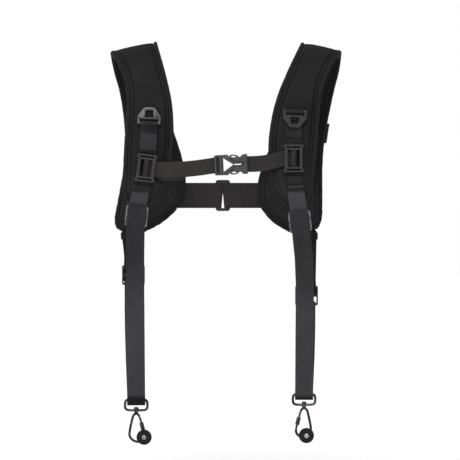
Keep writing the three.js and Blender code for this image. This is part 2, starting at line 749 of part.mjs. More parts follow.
function buckleSocket() {
  const half = BUCKLE_W / 2;
  const end = BUCKLE_L / 2;
  const bodyTo = end - 2 * (BUCKLE_BAR + BUCKLE_SLOT);
  const body = new THREE.Shape();
  body.moveTo(MOUTH_X, -half * 0.66);
  body.quadraticCurveTo(MOUTH_X + 3, -half * 0.5, MOUTH_X + 5, -half * 0.8);
  body.quadraticCurveTo(MOUTH_X + 6, -half, bodyTo, -half);
  body.lineTo(bodyTo, half);
  body.quadraticCurveTo(MOUTH_X + 6, half, MOUTH_X + 5, half * 0.8);
  body.quadraticCurveTo(MOUTH_X + 3, half * 0.5, MOUTH_X, half * 0.66);
  const first = [bodyTo, bodyTo + BUCKLE_SLOT];
  const second = [bodyTo + BUCKLE_SLOT + BUCKLE_BAR, end - BUCKLE_BAR];
  const bars = barredEnd(bodyTo - 1, end, BUCKLE_W, second, first);
  const room = [TONGUE_L, TONGUE_T, TONGUE_W].map((size) => size + 2 * GAP);
  const cavity = block(MOUTH_X + TONGUE_L / 2, 0, 0, ...room);
  const slot = block(MOUTH_X + 4, -BUCKLE_T / 2, 0, 7, BUCKLE_T, 2);
  return cut(join(plate(body, BUCKLE_T, 4), bars), cavity, slot);
}

// The back strap: sewn on the lobe's rear face, round its own bar of the back slider
const BACK_LOOP_R = loopRound(BACK_BAR, BACK_SLIDER_T);
const BACK_FACE = ARCH_DEPTH + PAD_T / 2 + SEWN;
const backBarX = BACK_LOOP_R + WEB_T / 2 + BACK_SLIVER / 2;

function backStrap(side) {
  const share = BACK_STRAP_DROP / BACK_DROP;
  const lobe = (name) => column(BACK_OUTLINE, 'down', name, share);
  const edge = lobe('centre') - lobe('width') / 2;
  const sewnFrom = outwards(side, edge * PAD_W + side.lean * share * share + BACK_STRAP_SEWN);
  const up = vec(0, 0, 1);
  const at = (x, y) => ({ p: vec(x, y, -BACK_STRAP_DROP), across: up });
  const barX = BACK_JOIN_X + side.sign * backBarX;
  const stations = [at(sewnFrom, BACK_FACE), at(lerp(sewnFrom, barX, 0.5), BACK_FACE)];
  arc(0, 0, BACK_LOOP_R, 270, 90, 8).forEach(([dx, dy]) => {
    stations.push(at(barX + side.sign * dx, BACK_FACE + BACK_LOOP_R + dy));
  });
  stations.push(at(barX + side.sign * BACK_SLIDER_W * 0.4, BACK_FACE + 2 * BACK_LOOP_R));
  return ribbon(stations, BACK_STRAP_W, WEB_T);
}

function backSlider() {
  const [w, h] = [BACK_SLIDER_W / 2, BACK_SLIDER_H / 2];
  const shape = roundedOutline(THREE.Shape, -w, -h, w, h, 2);
  const reach = BACK_STRAP_W / 2 + 2 * GAP;
  const hole = (x0, x1) => shape.holes.push(roundedOutline(THREE.Path, x0, -reach, x1, reach, 0.4));
  const half = BACK_BAR / 2;
  hole(-w + BACK_BAR * 0.75, -backBarX - half);
  hole(-backBarX + half, backBarX - half);
  hole(backBarX + half, w - BACK_BAR * 0.75);
  return plate(shape, BACK_SLIDER_T, 2);
}

// The side tag follows the outer edge of the pad's back half
function sideTag(side, rows) {
  const back = rows.slice(FRONT_ROWS);
  const rings = [-0.5, -0.17, 0.17, 0.5].map((k) => {
    const down = TAG_DROP + k * TAG_H;
    let i = 0;
    while (i < back.length - 2 && -back[i + 1].z < down) i += 1;
    const [a, b] = [back[i], back[i + 1]];
    const t = (down + a.z) / (a.z - b.z);
    const edge = lerp(a.centre + a.half, b.centre + b.half, t) + 2 * GAP;
    const s = lerp(a.s, b.s, t);
    const corners = [[edge, 1], [edge + TAG_OUT, 1], [edge + TAG_OUT, -1], [edge, -1]];
    return corners.map(([out, lift]) => padPoint(side, rows, out, s, (lift * TAG_T) / 2));
  });
  return loft(rings);
}

// Meshes are gathered under their names
const harness = new THREE.Group();
function piece(name, geometry, finish, parent = harness) {
  const mesh = new THREE.Mesh(geometry, finishes[finish]);
  mesh.name = name;
  parent.add(mesh);
  return mesh;
}

function holder(x, y, z, tilt = 0, pitch = 0) {
  const group = new THREE.Group();
  group.position.set(x, y, z);
  group.rotation.order = 'YXZ';
  group.rotation.set(radians(pitch), radians(tilt), 0);
  harness.add(group);
  return group;
}

// The camera strap's line from side to side at a height, by the share from its top to its fold
function cameraStrap(side, end) {
  const glide = glidePlane(end);
  const stations = [];
  const r = GLIDE_LOOP_R;
  stations.push(glide.station(-r, -2.4 * r));
  arc(0, 0, r, 180, 0, 7).forEach(([f, rise]) => stations.push(glide.station(f, rise)));
  stations.push(glide.station(GLIDE_BEHIND, -GLIDE_H / 2), glide.station(GLIDE_BEHIND, GLIDE_BAR - GLIDE_H));
  const low = ringBar(side);
  const from = stations[stations.length - 1].p;
  const hang = WIRE_R + GAP + WEB_T / 2;
  const line = (a, b, steps, bow) => {
    for (let i = 1; i <= steps; i += 1) {
      const t = i / steps;
      const p = a.clone().lerp(b, t);
      p.x = lerp(a.x, b.x, Math.sin((Math.PI / 2) * Math.min(1, t * bow)));
      stations.push({ p, across: vec(1, 0, 0) });
    }
  };
  const frontLow = vec(low.x, low.y - hang, low.z + WIRE_R);
  const rearLow = vec(low.x, low.y + hang, low.z + WIRE_R);
  line(from, frontLow, 6, 3);
  const fold = low.z - FOLD_DROP;
  arc(0, 0, hang, 180, 360, 8).forEach(([f, rise]) => {
    stations.push({ p: vec(low.x, low.y + f, fold + rise), across: vec(1, 0, 0) });
  });
  stations.push({ p: rearLow, across: vec(1, 0, 0) });
  const slider = rearSliderAt(side);
  const bar = vec(slider.x, slider.y, slider.z - REAR_SLIDER_H + REAR_SLIDER_BAR);
  const rr = REAR_LOOP_R;
  line(rearLow, vec(bar.x, bar.y + rr, bar.z - 1.5 * rr), 5, 1);
  arc(0, 0, rr, 0, 180, 7).forEach(([f, rise]) => {
    stations.push({ p: vec(bar.x, bar.y + f, bar.z + rise), across: vec(1, 0, 0) });
  });
  stations.push({ p: vec(bar.x, bar.y - rr, bar.z - 2 * rr), across: vec(1, 0, 0) });
  return ribbon(stations, CAMERA_W, WEB_T);
}

// The swivel ring's top bar, in the fold of the camera strap
const REAR_LOOP_R = loopRound(REAR_SLIDER_BAR, REAR_SLIDER_T);
function ringBar(side) {
  return vec(outwards(side, side.strapLow * PAD_W), 0, -side.strapDrop);
}

// The rear slider's top bar, on the line from the lobe to the swivel ring
const rearTabTop = (side) => vec(
  outwards(side, side.rearTop * PAD_W), ARCH_DEPTH - TUCK - PAD_T / 2 - SEWN, -BACK_DROP + TAB_SEWN,
);
function rearSliderAt(side) {
  const top = rearTabTop(side);
  const low = ringBar(side);
  const t = (side.rearSliderDrop + top.z) / (top.z - low.z);
  return vec(outwards(side, side.rearMid * PAD_W), lerp(top.y, low.y, t), -side.rearSliderDrop);
}

function rearSlider() {
  const [w, h] = [REAR_SLIDER_W / 2, REAR_SLIDER_H];
  const bar = REAR_SLIDER_BAR;
  const shape = roundedOutline(THREE.Shape, -w, bar / 2 - h, w, bar / 2, 2);
  const mid = -(h - bar) / 2;
  const slot = (low, high) => roundedOutline(THREE.Path, 2 - w, low, w - 2, high, 0.6);
  shape.holes.push(slot(mid + bar / 2, -bar / 2), slot(2 * mid + bar / 2, mid - bar / 2));
  return plate(shape, REAR_SLIDER_T, 2);
}

function rearTab(side) {
  const top = rearTabTop(side);
  const slider = rearSliderAt(side);
  const r = REAR_LOOP_R;
  const across = vec(1, 0, 0);
  const stations = [{ p: top, across }];
  const edge = vec(lerp(top.x, slider.x, 0.3), top.y, -BACK_DROP - RIM_W);
  stations.push({ p: edge, across });
  stations.push({ p: vec(slider.x, slider.y + r, slider.z + 4 * r), across });
  stations.push({ p: vec(slider.x, slider.y + r, slider.z), across });
  arc(0, 0, r, 0, -180, 7).forEach(([f, rise]) => {
    stations.push({ p: vec(slider.x, slider.y + f, slider.z + rise), across });
  });
  stations.push({ p: vec(slider.x, slider.y - r * 0.6, slider.z + 3.6 * r), across });
  return ribbon(stations, TAB_W, WEB_T);
}

// Swivel ring: a rounded wire ring with a bored boss at the middle of its lower bar
function swivelRing() {
  const [w, r] = [RING_W / 2 - WIRE_R, RING_CORNER];
  const low = -RING_H;
  const corner = (x, z, from) => arc(x, z, r, from, from + 90, 4);
  const points = [
    ...corner(w - r, -r, 0), ...corner(r - w, -r, 90),
    ...corner(r - w, low + r, 180), ...corner(w - r, low + r, 270),
  ];
  const ring = wire(points, WIRE_R, true, 8);
  const boss = rod('z', BOSS_R, BOSS_H).translate(0, 0, low);
  return cut(join(ring, boss), rod('z', PIN_R + GAP, 2 * BOSS_H, 12).translate(0, 0, low));
}

// Carabiner outline below its apex, with the plain side at -X: [across, down] as shares of its size
const CLIP_LINE = [
  [0.2, -0.118], [0.13, -0.045], [0.06, -0.008], [-0.03, -0.004], [-0.12, -0.035], [-0.185, -0.1],
  [-0.24, -0.22], [-0.38, -0.66], [-0.39, -0.74], [-0.34, -0.84], [-0.23, -0.92], [-0.07, -0.975],
  [0.12, -1.0], [0.28, -0.985], [0.4, -0.92], [0.46, -0.83], [0.465, -0.74],
];
const clipPoint = ([across, down]) => [across * CLIP_W, down * CLIP_H];
const clipCurve = new THREE.CatmullRomCurve3(CLIP_LINE.map((p) => vec(clipPoint(p)[0], 0, clipPoint(p)[1])));
const CLIP_STEPS = 26;
const hingeAt = clipPoint([0.225, -0.165]);
const noseAt = clipPoint([0.465, -0.74]);

function carabiner() {
  const bow = wire(clipCurve.getSpacedPoints(CLIP_STEPS).map((p) => [p.x, p.z]), WIRE_R, false, 8);
  const pinTop = NECK_H + BOSS_H + 2 * GAP;
  const neck = rod('z', NECK_R, NECK_H).translate(0, 0, NECK_H / 2 - NECK_SUNK);
  const pin = rod('z', PIN_R, pinTop + 1, 12).translate(0, 0, pinTop / 2);
  const dome = new THREE.LatheGeometry([
    new THREE.Vector2(0, 0), new THREE.Vector2(DOME_R, 0), new THREE.Vector2(DOME_R * 0.8, DOME_H * 0.6),
    new THREE.Vector2(DOME_R * 0.4, DOME_H * 0.93), new THREE.Vector2(0, DOME_H),
  ], ROUND_SIDES).rotateX(Math.PI / 2).translate(0, 0, pinTop - GAP);
  return join(bow, neck, pin, dome);
}

function gate() {
  const [hx, hz] = hingeAt;
  const [nx, nz] = noseAt;
  const length = Math.hypot(nx - hx, nz - hz) - GATE_OPEN_GAP;
  const rodBody = rod('z', WIRE_R * 0.93, length, 8).translate(0, 0, -length / 2);
  const knuckle = rod('y', WIRE_R * 1.05, 2 * WIRE_R, 10);
  const made = join(rodBody, knuckle);
  made.rotateY(-Math.atan2(nx - hx, hz - nz));
  return made.translate(hx, 0, hz);
}

function gateSleeve() {
  const [hx, hz] = hingeAt;
  const [nx, nz] = noseAt;
  const length = Math.hypot(nx - hx, nz - hz);
  const outer = rod('z', SLEEVE_R, SLEEVE_L, 12);
  const tube = cut(outer, rod('z', WIRE_R + GAP, 2 * SLEEVE_L, 12));
  tube.translate(0, 0, -0.5 * length);
  tube.rotateY(-Math.atan2(nx - hx, hz - nz));
  return tube.translate(hx, 0, hz);
}

// Camera screw: an eye round the carabiner's bow, a plate in front of it and the screw, along -Y
const EYE_REACH = EYE_R + 0.6;
function cameraScrew() {
  const eye = wire(arc(0, 0, EYE_R, 0, 324, 9), EYE_WIRE_R, true, 6).rotateZ(Math.PI / 2);
  const disc = rod('y', PLATE_R, PLATE_T).translate(0, -(EYE_REACH + PLATE_T / 2), 0);
  const length = WASHER_T + GAP + SCREW_L + 1;
  const shank = rod('y', SCREW_R, length, 12).translate(0, -(EYE_REACH + PLATE_T + length / 2 - 1), 0);
  return join(eye, disc, shank);
}

function rubberWasher() {
  const outer = rod('y', WASHER_R, WASHER_T, 20);
  return cut(outer, rod('y', SCREW_R + GAP, 2 * WASHER_T, 12))
    .translate(0, -(EYE_REACH + PLATE_T + GAP + WASHER_T / 2), 0);
}

// The two halves of one side
function buildSide(side) {
  const { name } = side;
  const rows = padRows(side);
  piece(`${name}_shoulder_pad`, shoulderPad(side, rows), 'neoprene');
  piece(`${name}_pad_binding`, padBinding(side, rows), 'binding');
  piece(`${name}_ladder_webbing`, ladderWebbing(side), 'webbing');

  const top = ladderAt(side, side.ladder[0].down);
  const flip = side.ringUp ? -D_FLIP_LEAN : 180;
  piece(`${name}_d_ring`, dRing(), 'plastic', holder(top.x, -FACE - D_BAR_FORWARD, top.z, top.tilt, flip));

  const slid = ladderAt(side, side.slider);
  piece(`${name}_chest_slider`, chestSlider(), 'plastic', holder(slid.x, -FACE, slid.z, slid.tilt));

  const end = ladderAt(side, side.ladder[side.ladder.length - 1].down);
  piece(`${name}_front_triglide`, triglide(), 'steel', holder(end.x, -FACE - GLIDE_FORWARD, end.z, end.tilt));
  piece(`${name}_camera_strap`, cameraStrap(side, end), 'webbing');

  const rear = rearSliderAt(side);
  piece(`${name}_rear_slider`, rearSlider(), 'plastic', holder(rear.x, rear.y, rear.z));
  piece(`${name}_rear_tab`, rearTab(side), 'webbing');
  piece(`${name}_back_strap`, backStrap(side), 'webbing');

  const bar = ringBar(side);
  piece(`${name}_swivel_ring`, swivelRing(), 'steel', holder(bar.x, bar.y, bar.z));
  const clip = holder(bar.x, bar.y, bar.z - RING_H - BOSS_H / 2 - GAP - NECK_H);
  if (side.sign > 0) clip.rotation.z = Math.PI;
  piece(`${name}_carabiner`, carabiner(), 'steel', clip);
  piece(`${name}_gate`, gate(), 'steel', clip);
  piece(`${name}_gate_sleeve`, gateSleeve(), 'steel', clip);

  const bow = clipCurve.getPointAt(side.screwAt);
  const run = clipCurve.getTangentAt(side.screwAt);
  const slope = THREE.MathUtils.radToDeg(Math.atan2(run.z, run.x));
  const screw = holder(bar.x - side.sign * bow.x, bar.y, clip.position.z + bow.z, side.sign * slope);
  piece(`${name}_camera_screw`, cameraScrew(), 'steel', screw);
  piece(`${name}_rubber_washer`, rubberWasher(), 'rubber', screw);
}

[LEFT, RIGHT].forEach(buildSide);

// The chest buckle, fastened
const buckle = holder(BUCKLE_X, -BUCKLE_FORWARD, -BUCKLE_DROP, -BUCKLE_RISE);
piece('buckle_latch', buckleLatch(), 'plastic', buckle);
piece('buckle_socket', buckleSocket(), 'plastic', buckle);
[[LEFT, latchBarX], [RIGHT, socketBarX]].forEach(([side, x]) => {
  const along = vec(Math.cos(radians(BUCKLE_RISE)), 0, Math.sin(radians(BUCKLE_RISE))).multiplyScalar(x);
  piece(`${side.name}_chest_webbing`, chestWebbing(side, along.add(buckle.position), BUCKLE_RISE), 'webbing');
});

// The back straps and their slider
piece('back_slider', backSlider(), 'plastic', holder(BACK_JOIN_X, BACK_FACE + BACK_LOOP_R, -BACK_STRAP_DROP));

// The bare label and the bare tag
const labelled = ladderAt(LEFT, LABEL_DROP / FRONT_DROP);
const labelForward = FACE + RAISED + WEB_T / 2 + GAP + LABEL_T / 2;
const labelPlace = holder(labelled.x, -labelForward, labelled.z, labelled.tilt);
piece('label_patch', block(0, 0, 0, LABEL_W, LABEL_T, LABEL_H), 'webbing', labelPlace);
piece('side_tag', sideTag(RIGHT, padRows(RIGHT)), 'webbing');

export default harness;
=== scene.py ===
"""Dual camera harness: two padded shoulders, a buckled chest strap, a back strap and, on each
side, a camera strap that carries a swivel clip with a camera screw.

Every piece is in metres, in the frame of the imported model. Soft pieces and small fittings are
modelled here and stand for their nodes in the frame.
"""

from __future__ import annotations

import json
import logging
import math
import sys
from dataclasses import dataclass, field
from enum import Enum
from typing import Sequence

import bmesh
import bpy
import numpy as np
from mathutils import Matrix, Vector
from mathutils.bvhtree import BVHTree

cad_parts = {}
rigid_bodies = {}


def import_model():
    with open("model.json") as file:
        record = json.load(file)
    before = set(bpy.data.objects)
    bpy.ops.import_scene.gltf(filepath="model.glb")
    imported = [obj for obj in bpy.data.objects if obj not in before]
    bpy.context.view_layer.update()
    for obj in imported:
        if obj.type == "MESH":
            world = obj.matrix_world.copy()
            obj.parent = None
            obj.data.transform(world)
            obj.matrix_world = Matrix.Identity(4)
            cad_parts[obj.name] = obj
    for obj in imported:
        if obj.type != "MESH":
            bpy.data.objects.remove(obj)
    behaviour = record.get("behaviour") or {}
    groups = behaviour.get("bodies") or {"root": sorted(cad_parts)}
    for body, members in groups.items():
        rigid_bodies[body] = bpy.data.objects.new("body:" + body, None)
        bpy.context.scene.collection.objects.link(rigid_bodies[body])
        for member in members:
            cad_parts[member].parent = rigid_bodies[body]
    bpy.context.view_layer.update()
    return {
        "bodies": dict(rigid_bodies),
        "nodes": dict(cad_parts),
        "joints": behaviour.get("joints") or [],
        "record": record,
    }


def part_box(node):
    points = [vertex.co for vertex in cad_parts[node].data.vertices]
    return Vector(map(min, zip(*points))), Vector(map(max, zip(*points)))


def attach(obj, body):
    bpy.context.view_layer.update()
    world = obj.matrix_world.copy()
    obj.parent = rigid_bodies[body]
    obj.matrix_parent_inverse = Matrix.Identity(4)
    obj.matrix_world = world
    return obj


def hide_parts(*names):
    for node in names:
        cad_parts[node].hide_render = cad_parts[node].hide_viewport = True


log = logging.getLogger("harness")

MM = 0.001
Point = Sequence[float]


class Side(Enum):
    """The two sides of the harness, as someone who faces the wearer sees them."""

    LEFT = "left"
    RIGHT = "right"

    @property
    def sign(self) -> int:
        """-1 on the left, 1 on the right."""
        return -1 if self is Side.LEFT else 1

    def node(self, piece: str) -> str:
        """The name of this side's node of a piece."""
        return f"{self.value}_{piece}"


# Objects and modifiers


def deselect() -> None:
    """Leaves nothing selected."""
    if bpy.context.mode != "OBJECT":
        bpy.ops.object.mode_set(mode="OBJECT")
    bpy.ops.object.select_all(action="DESELECT")


def activate(piece: bpy.types.Object) -> bpy.types.Object:
    """Selects one piece alone and makes it the active object.

    Args:
        piece: the object to work on.

    Returns:
        The same object.
    """
    deselect()
    piece.select_set(True)
    bpy.context.view_layer.objects.active = piece
    return piece


def settle(piece: bpy.types.Object) -> bpy.types.Object:
    """Applies the object's place, turn and size to its mesh.

    Args:
        piece: a finished mesh object.

    Returns:
        The same object, at the origin.
    """
    activate(piece)
    bpy.ops.object.transform_apply(location=True, rotation=True, scale=True)
    return piece


def modify(piece: bpy.types.Object, kind: str, **settings: object) -> None:
    """Adds one modifier and applies it.

    Args:
        piece: the object to change.
        kind: the modifier's type, such as "BEVEL".
        **settings: the modifier's own settings.
    """
    activate(piece)
    modifier = piece.modifiers.new(kind.title(), kind)
    for name, value in settings.items():
        setattr(modifier, name, value)
    bpy.ops.object.modifier_apply(modifier=modifier.name)


def recalculate(piece: bpy.types.Object) -> None:
    """Merges a piece's doubles and points its faces outwards."""
    activate(piece)
    bpy.ops.object.mode_set(mode="EDIT")
    bpy.ops.mesh.select_all(action="SELECT")
    bpy.ops.mesh.remove_doubles(threshold=1e-6)
    bpy.ops.mesh.normals_make_consistent(inside=False)
    bpy.ops.object.mode_set(mode="OBJECT")


def smooth(piece: bpy.types.Object, degrees: float = 180.0) -> None:
    """Shades a piece smooth, with sharp edges past an angle."""
    activate(piece)
    if degrees >= 180:
        bpy.ops.object.shade_smooth()
    else:
        bpy.ops.object.shade_smooth_by_angle(angle=math.radians(degrees))


def mesh_piece(name: str, points: Sequence[Point], faces: Sequence[Sequence[int]]) -> bpy.types.Object:
    """Makes a mesh object from its points and faces.

    Args:
        name: the piece's name.
        points: places in metres.
        faces: corner numbers of each face.

    Returns:
        The new object, linked to the scene.
    """
    mesh = bpy.data.meshes.new(name)
    mesh.from_pydata([tuple(p) for p in points], [], [tuple(f) for f in faces])
    mesh.update()
    made = bpy.data.objects.new(name, mesh)
    bpy.context.scene.collection.objects.link(made)
    return made


def node_copy(frame: dict, node: str, name: str) -> bpy.types.Object:
    """Copies a node of the frame as a merged mesh of its own.

    Args:
        node: the node's name.
        name: the copy's name.

    Returns:
        The copy, linked to the scene.
    """
    mesh = frame["nodes"][node].data.copy()
    mesh.materials.clear()
    copy = bpy.data.objects.new(name, mesh)
    bpy.context.scene.collection.objects.link(copy)
    built = bmesh.new()
    built.from_mesh(mesh)
    bmesh.ops.remove_doubles(built, verts=built.verts, dist=5e-6)
    built.to_mesh(mesh)
    built.free()
    for layer in list(mesh.uv_layers):
        mesh.uv_layers.remove(layer)
    return copy


def joined(name: str, pieces: Sequence[bpy.types.Object]) -> bpy.types.Object:
    """Joins several objects into the first.

    Args:
        name: the joined piece's name.
        pieces: mesh objects.

    Returns:
        The joined object.
    """
    deselect()
    for piece in pieces:
        piece.select_set(True)
    bpy.context.view_layer.objects.active = pieces[0]
    bpy.ops.object.join()
    pieces[0].name = name
    pieces[0].data.name = name
    return pieces[0]


# Shader maths


class Socket:
    """A number that varies over a surface, as a node's output, with Python's operators."""

    def __init__(self, shader: "Shader", output: bpy.types.NodeSocket) -> None:
        """Wraps one output socket of a shader's node tree."""
        self.shader = shader
        self.output = output

    def math(self, operation: str, *others: object, first: object = None) -> "Socket":
        """Adds one Math node.

        Args:
            operation: the node's operation.
            *others: the values after this one.
            first: a value before this one, for the reflected operators.

        Returns:
            The node's result.
        """
        values = [self, *others] if first is None else [first, self, *others]
        return self.shader.node("ShaderNodeMath", {"operation": operation}, dict(enumerate(values)))

    def __add__(self, other: object) -> "Socket":
        """The sum."""
        return self.math("ADD", other)

    __radd__ = __add__

    def __sub__(self, other: object) -> "Socket":
        """The difference."""
        return self.math("SUBTRACT", other)

    def __rsub__(self, other: object) -> "Socket":
        """The difference from another value."""
        return self.math("SUBTRACT", first=other)

    def __mul__(self, other: object) -> "Socket":
        """The product."""
        return self.math("MULTIPLY", other)

    __rmul__ = __mul__

    def __truediv__(self, other: object) -> "Socket":
        """The quotient."""
        return self.math("DIVIDE", other)

    def sine(self) -> "Socket":
        """The sine."""
        return self.math("SINE")

    def size(self) -> "Socket":
        """The absolute value."""
        return self.math("ABSOLUTE")

    def floor(self) -> "Socket":
        """The whole part."""
        return self.math("FLOOR")

    def between(self, low: float, high: float) -> "Socket":
        """A smooth step from 0 at low to 1 at high."""
        settings = {"interpolation_type": "SMOOTHSTEP"}
        values = {"Value": self, "From Min": low, "From Max": high}
        return self.shader.node("ShaderNodeMapRange", settings, values)


class Shader:
    """One material and its node tree."""

    def __init__(self, name: str) -> None:
        """Makes an empty material with a Principled shader.

        Args:
            name: the material's name.
        """
        self.material = bpy.data.materials.new(name)
        self.material.use_nodes = True
        self.tree = self.material.node_tree
        self.surface = self.tree.nodes["Principled BSDF"]

    def node(self, kind: str, settings: dict, inputs: dict, output: object = 0) -> Socket:
        """Adds any node.

        Args:
            kind: the node's type.
            settings: its own settings, set first; "stops" holds a ramp's places and greys.
            inputs: values or sockets for its inputs, by name or number.
            output: the output to return, by name or number.

        Returns:
            The chosen output.
        """
        made = self.tree.nodes.new(kind)
        for name, value in settings.items():
            if name == "stops":
                self._stops(made.color_ramp, value)
            else:
                setattr(made, name, value)
        for key, value in inputs.items():
            if isinstance(value, Socket):
                self.tree.links.new(value.output, made.inputs[key])
            else:
                made.inputs[key].default_value = value
        return Socket(self, made.outputs[output])

    @staticmethod
    def _stops(ramp: bpy.types.ColorRamp, stops: Sequence[tuple[float, float]]) -> None:
        """Sets a ramp's stops from places and greys."""
        while len(ramp.elements) < len(stops):
            ramp.elements.new(0.5)
        for element, (place, grey) in zip(ramp.elements, stops):
            element.position = place
            element.color = (grey, grey, grey, 1)

    def fixed(self, **values: object) -> None:
        """Sets the surface's own sockets, such as Roughness=0.5; an underscore stands for a space."""
        for name, value in values.items():
            self.surface.inputs[name.replace("_", " ")].default_value = value

    def feed(self, name: str, value: Socket) -> None:
        """Links a varying value to one of the surface's sockets."""
        self.tree.links.new(value.output, self.surface.inputs[name])

    def place(self, size: float = 1.0) -> Socket:
        """The object's own coordinates, in metres times size."""
        here = self.node("ShaderNodeTexCoord", {}, {}, "Object")
        return self.node("ShaderNodeVectorMath", {"operation": "SCALE"}, {0: here, "Scale": size})

    def height(self) -> Socket:
        """The height of the point in the piece's frame."""
        return self.node("ShaderNodeSeparateXYZ", {}, {0: self.place()}, 2)

    def noise(self, period: float, detail: float = 3.0, stretch: Point = (1, 1, 1)) -> Socket:
        """Noise over the object's own coordinates.

        Args:
            period: the size of its largest features, in metres.
            detail: its number of octaves.
            stretch: how much finer it is along each axis.

        Returns:
            A value about 0.5.
        """
        values = {0: self.place(1 / period), 1: stretch}
        here = self.node("ShaderNodeVectorMath", {"operation": "MULTIPLY"}, values)
        return self.node("ShaderNodeTexNoise", {}, {"Vector": here, "Scale": 1.0, "Detail": detail}, "Fac")

    def tint(self, dark: Point, light: Point, share: Socket) -> None:
        """Feeds the base colour with a mix of two colours."""
        settings = {"data_type": "RGBA"}
        mixed = self.node("ShaderNodeMix", settings, {0: share, 6: (*dark, 1), 7: (*light, 1)}, 2)
        self.feed("Base Color", mixed)

    def bump(self, height: Socket, depth: float, strength: float = 1.0) -> None:
        """Feeds the normal from a height of 0 to 1.

        Args:
            height: the relief.
            depth: the depth of the full relief, in metres.
            strength: how strongly it shows.
        """
        made = self.node("ShaderNodeBump", {}, {"Height": height, "Distance": depth, "Strength": strength})
        self.feed("Normal", made)


# Finishes


@dataclass(frozen=True)
class Finish:
    """A procedural finish, painted on a new shader."""

    def material(self, name: str) -> bpy.types.Material:
        """Builds the material.

        Args:
            name: the material's name.

        Returns:
            The material.
        """
        s = Shader(name)
        self.paint(s)
        return s.material

    def paint(self, s: Shader) -> None:
        """Adds the finish's nodes.

        Args:
            s: the shader that they go into.
        """
        raise NotImplementedError


@dataclass(frozen=True)
class PadCloth(Finish):
    """Neoprene with a fine knitted face, painted lighter on its lower part as painted light and darker in its
    sewn channel as painted shade.
    """

    dark: Point = (0.003, 0.003, 0.0034)
    light: Point = (0.021, 0.021, 0.0222)
    knit: float = 0.9 * MM
    # Painted light: the height below which the pad is painted lighter, how far that fades in and how much
    # lighter it gets.
    painted_light_from: float = -190 * MM
    fade: float = 45 * MM
    painted_light: float = 0.36
    channel_at: float = 4.6 * MM
    channel_w: float = 0.9 * MM

    def paint(self, s: Shader) -> None:
        """Adds the finish's nodes.

        Args:
            s: the shader that they go into.
        """
        place = s.place(2 * math.pi / self.knit)
        parts = s.tree.nodes.new("ShaderNodeSeparateXYZ")
        s.tree.links.new(place.output, parts.inputs[0])
        x, y, z = (Socket(s, parts.outputs[i]) for i in range(3))
        stitch = ((x + y * 0.4).sine() * (z + y * 0.4).sine() + 1) * 0.5
        broad = s.noise(60 * MM, 4.0)
        fine = s.noise(1.5 * MM, 2.0)
        edge = s.node("ShaderNodeAttribute", {"attribute_name": "rim_distance"}, {}, "Fac")
        # Painted shade: the colour darkens along the sewn channel by the rim, where shade falls in the dip;
        # the dip itself is in the mesh and the bump.
        channel = 1 - ((edge - self.channel_at).size()).between(self.channel_w * 0.25, self.channel_w)
        share = broad * 0.75 + fine * 0.35 + stitch * 0.25 - channel * 0.5 - 0.12
        # Painted light: below a set height the pad is painted lighter, fading in over fade, in place of the
        # light on its lower part.
        low = s.height().between(self.painted_light_from, self.painted_light_from + self.fade)
        s.tint(self.dark, self.light, share + (1 - low) * self.painted_light)
        s.fixed(Roughness=0.95, Sheen_Weight=0.02, Sheen_Roughness=0.5, Specular_IOR_Level=0.05)
        s.bump(stitch * 0.25 + fine * 0.4 - channel * 2.2, 0.28 * MM, 0.9)


@dataclass(frozen=True)
class BindingCloth(Finish):
    """Knitted tape rolled over the edge of a pad, slightly puckered."""

    dark: Point = (0.0025, 0.0025, 0.003)
    light: Point = (0.0185, 0.0185, 0.0196)
    rib: float = 1.1 * MM
    pucker: float = 5 * MM

    def paint(self, s: Shader) -> None:
        """Adds the finish's nodes.

        Args:
            s: the shader that they go into.
        """
        fine = s.noise(self.rib, 3.0)
        pucker = s.noise(self.pucker, 2.0, (0.5, 0.5, 1.6))
        s.tint(self.dark, self.light, fine * 0.5 + pucker * 0.6)
        s.fixed(Roughness=0.8, Sheen_Weight=0.03, Sheen_Roughness=0.4, Specular_IOR_Level=0.08)
        s.bump(fine * 0.5 + pucker * 0.8, 0.35 * MM, 0.8)


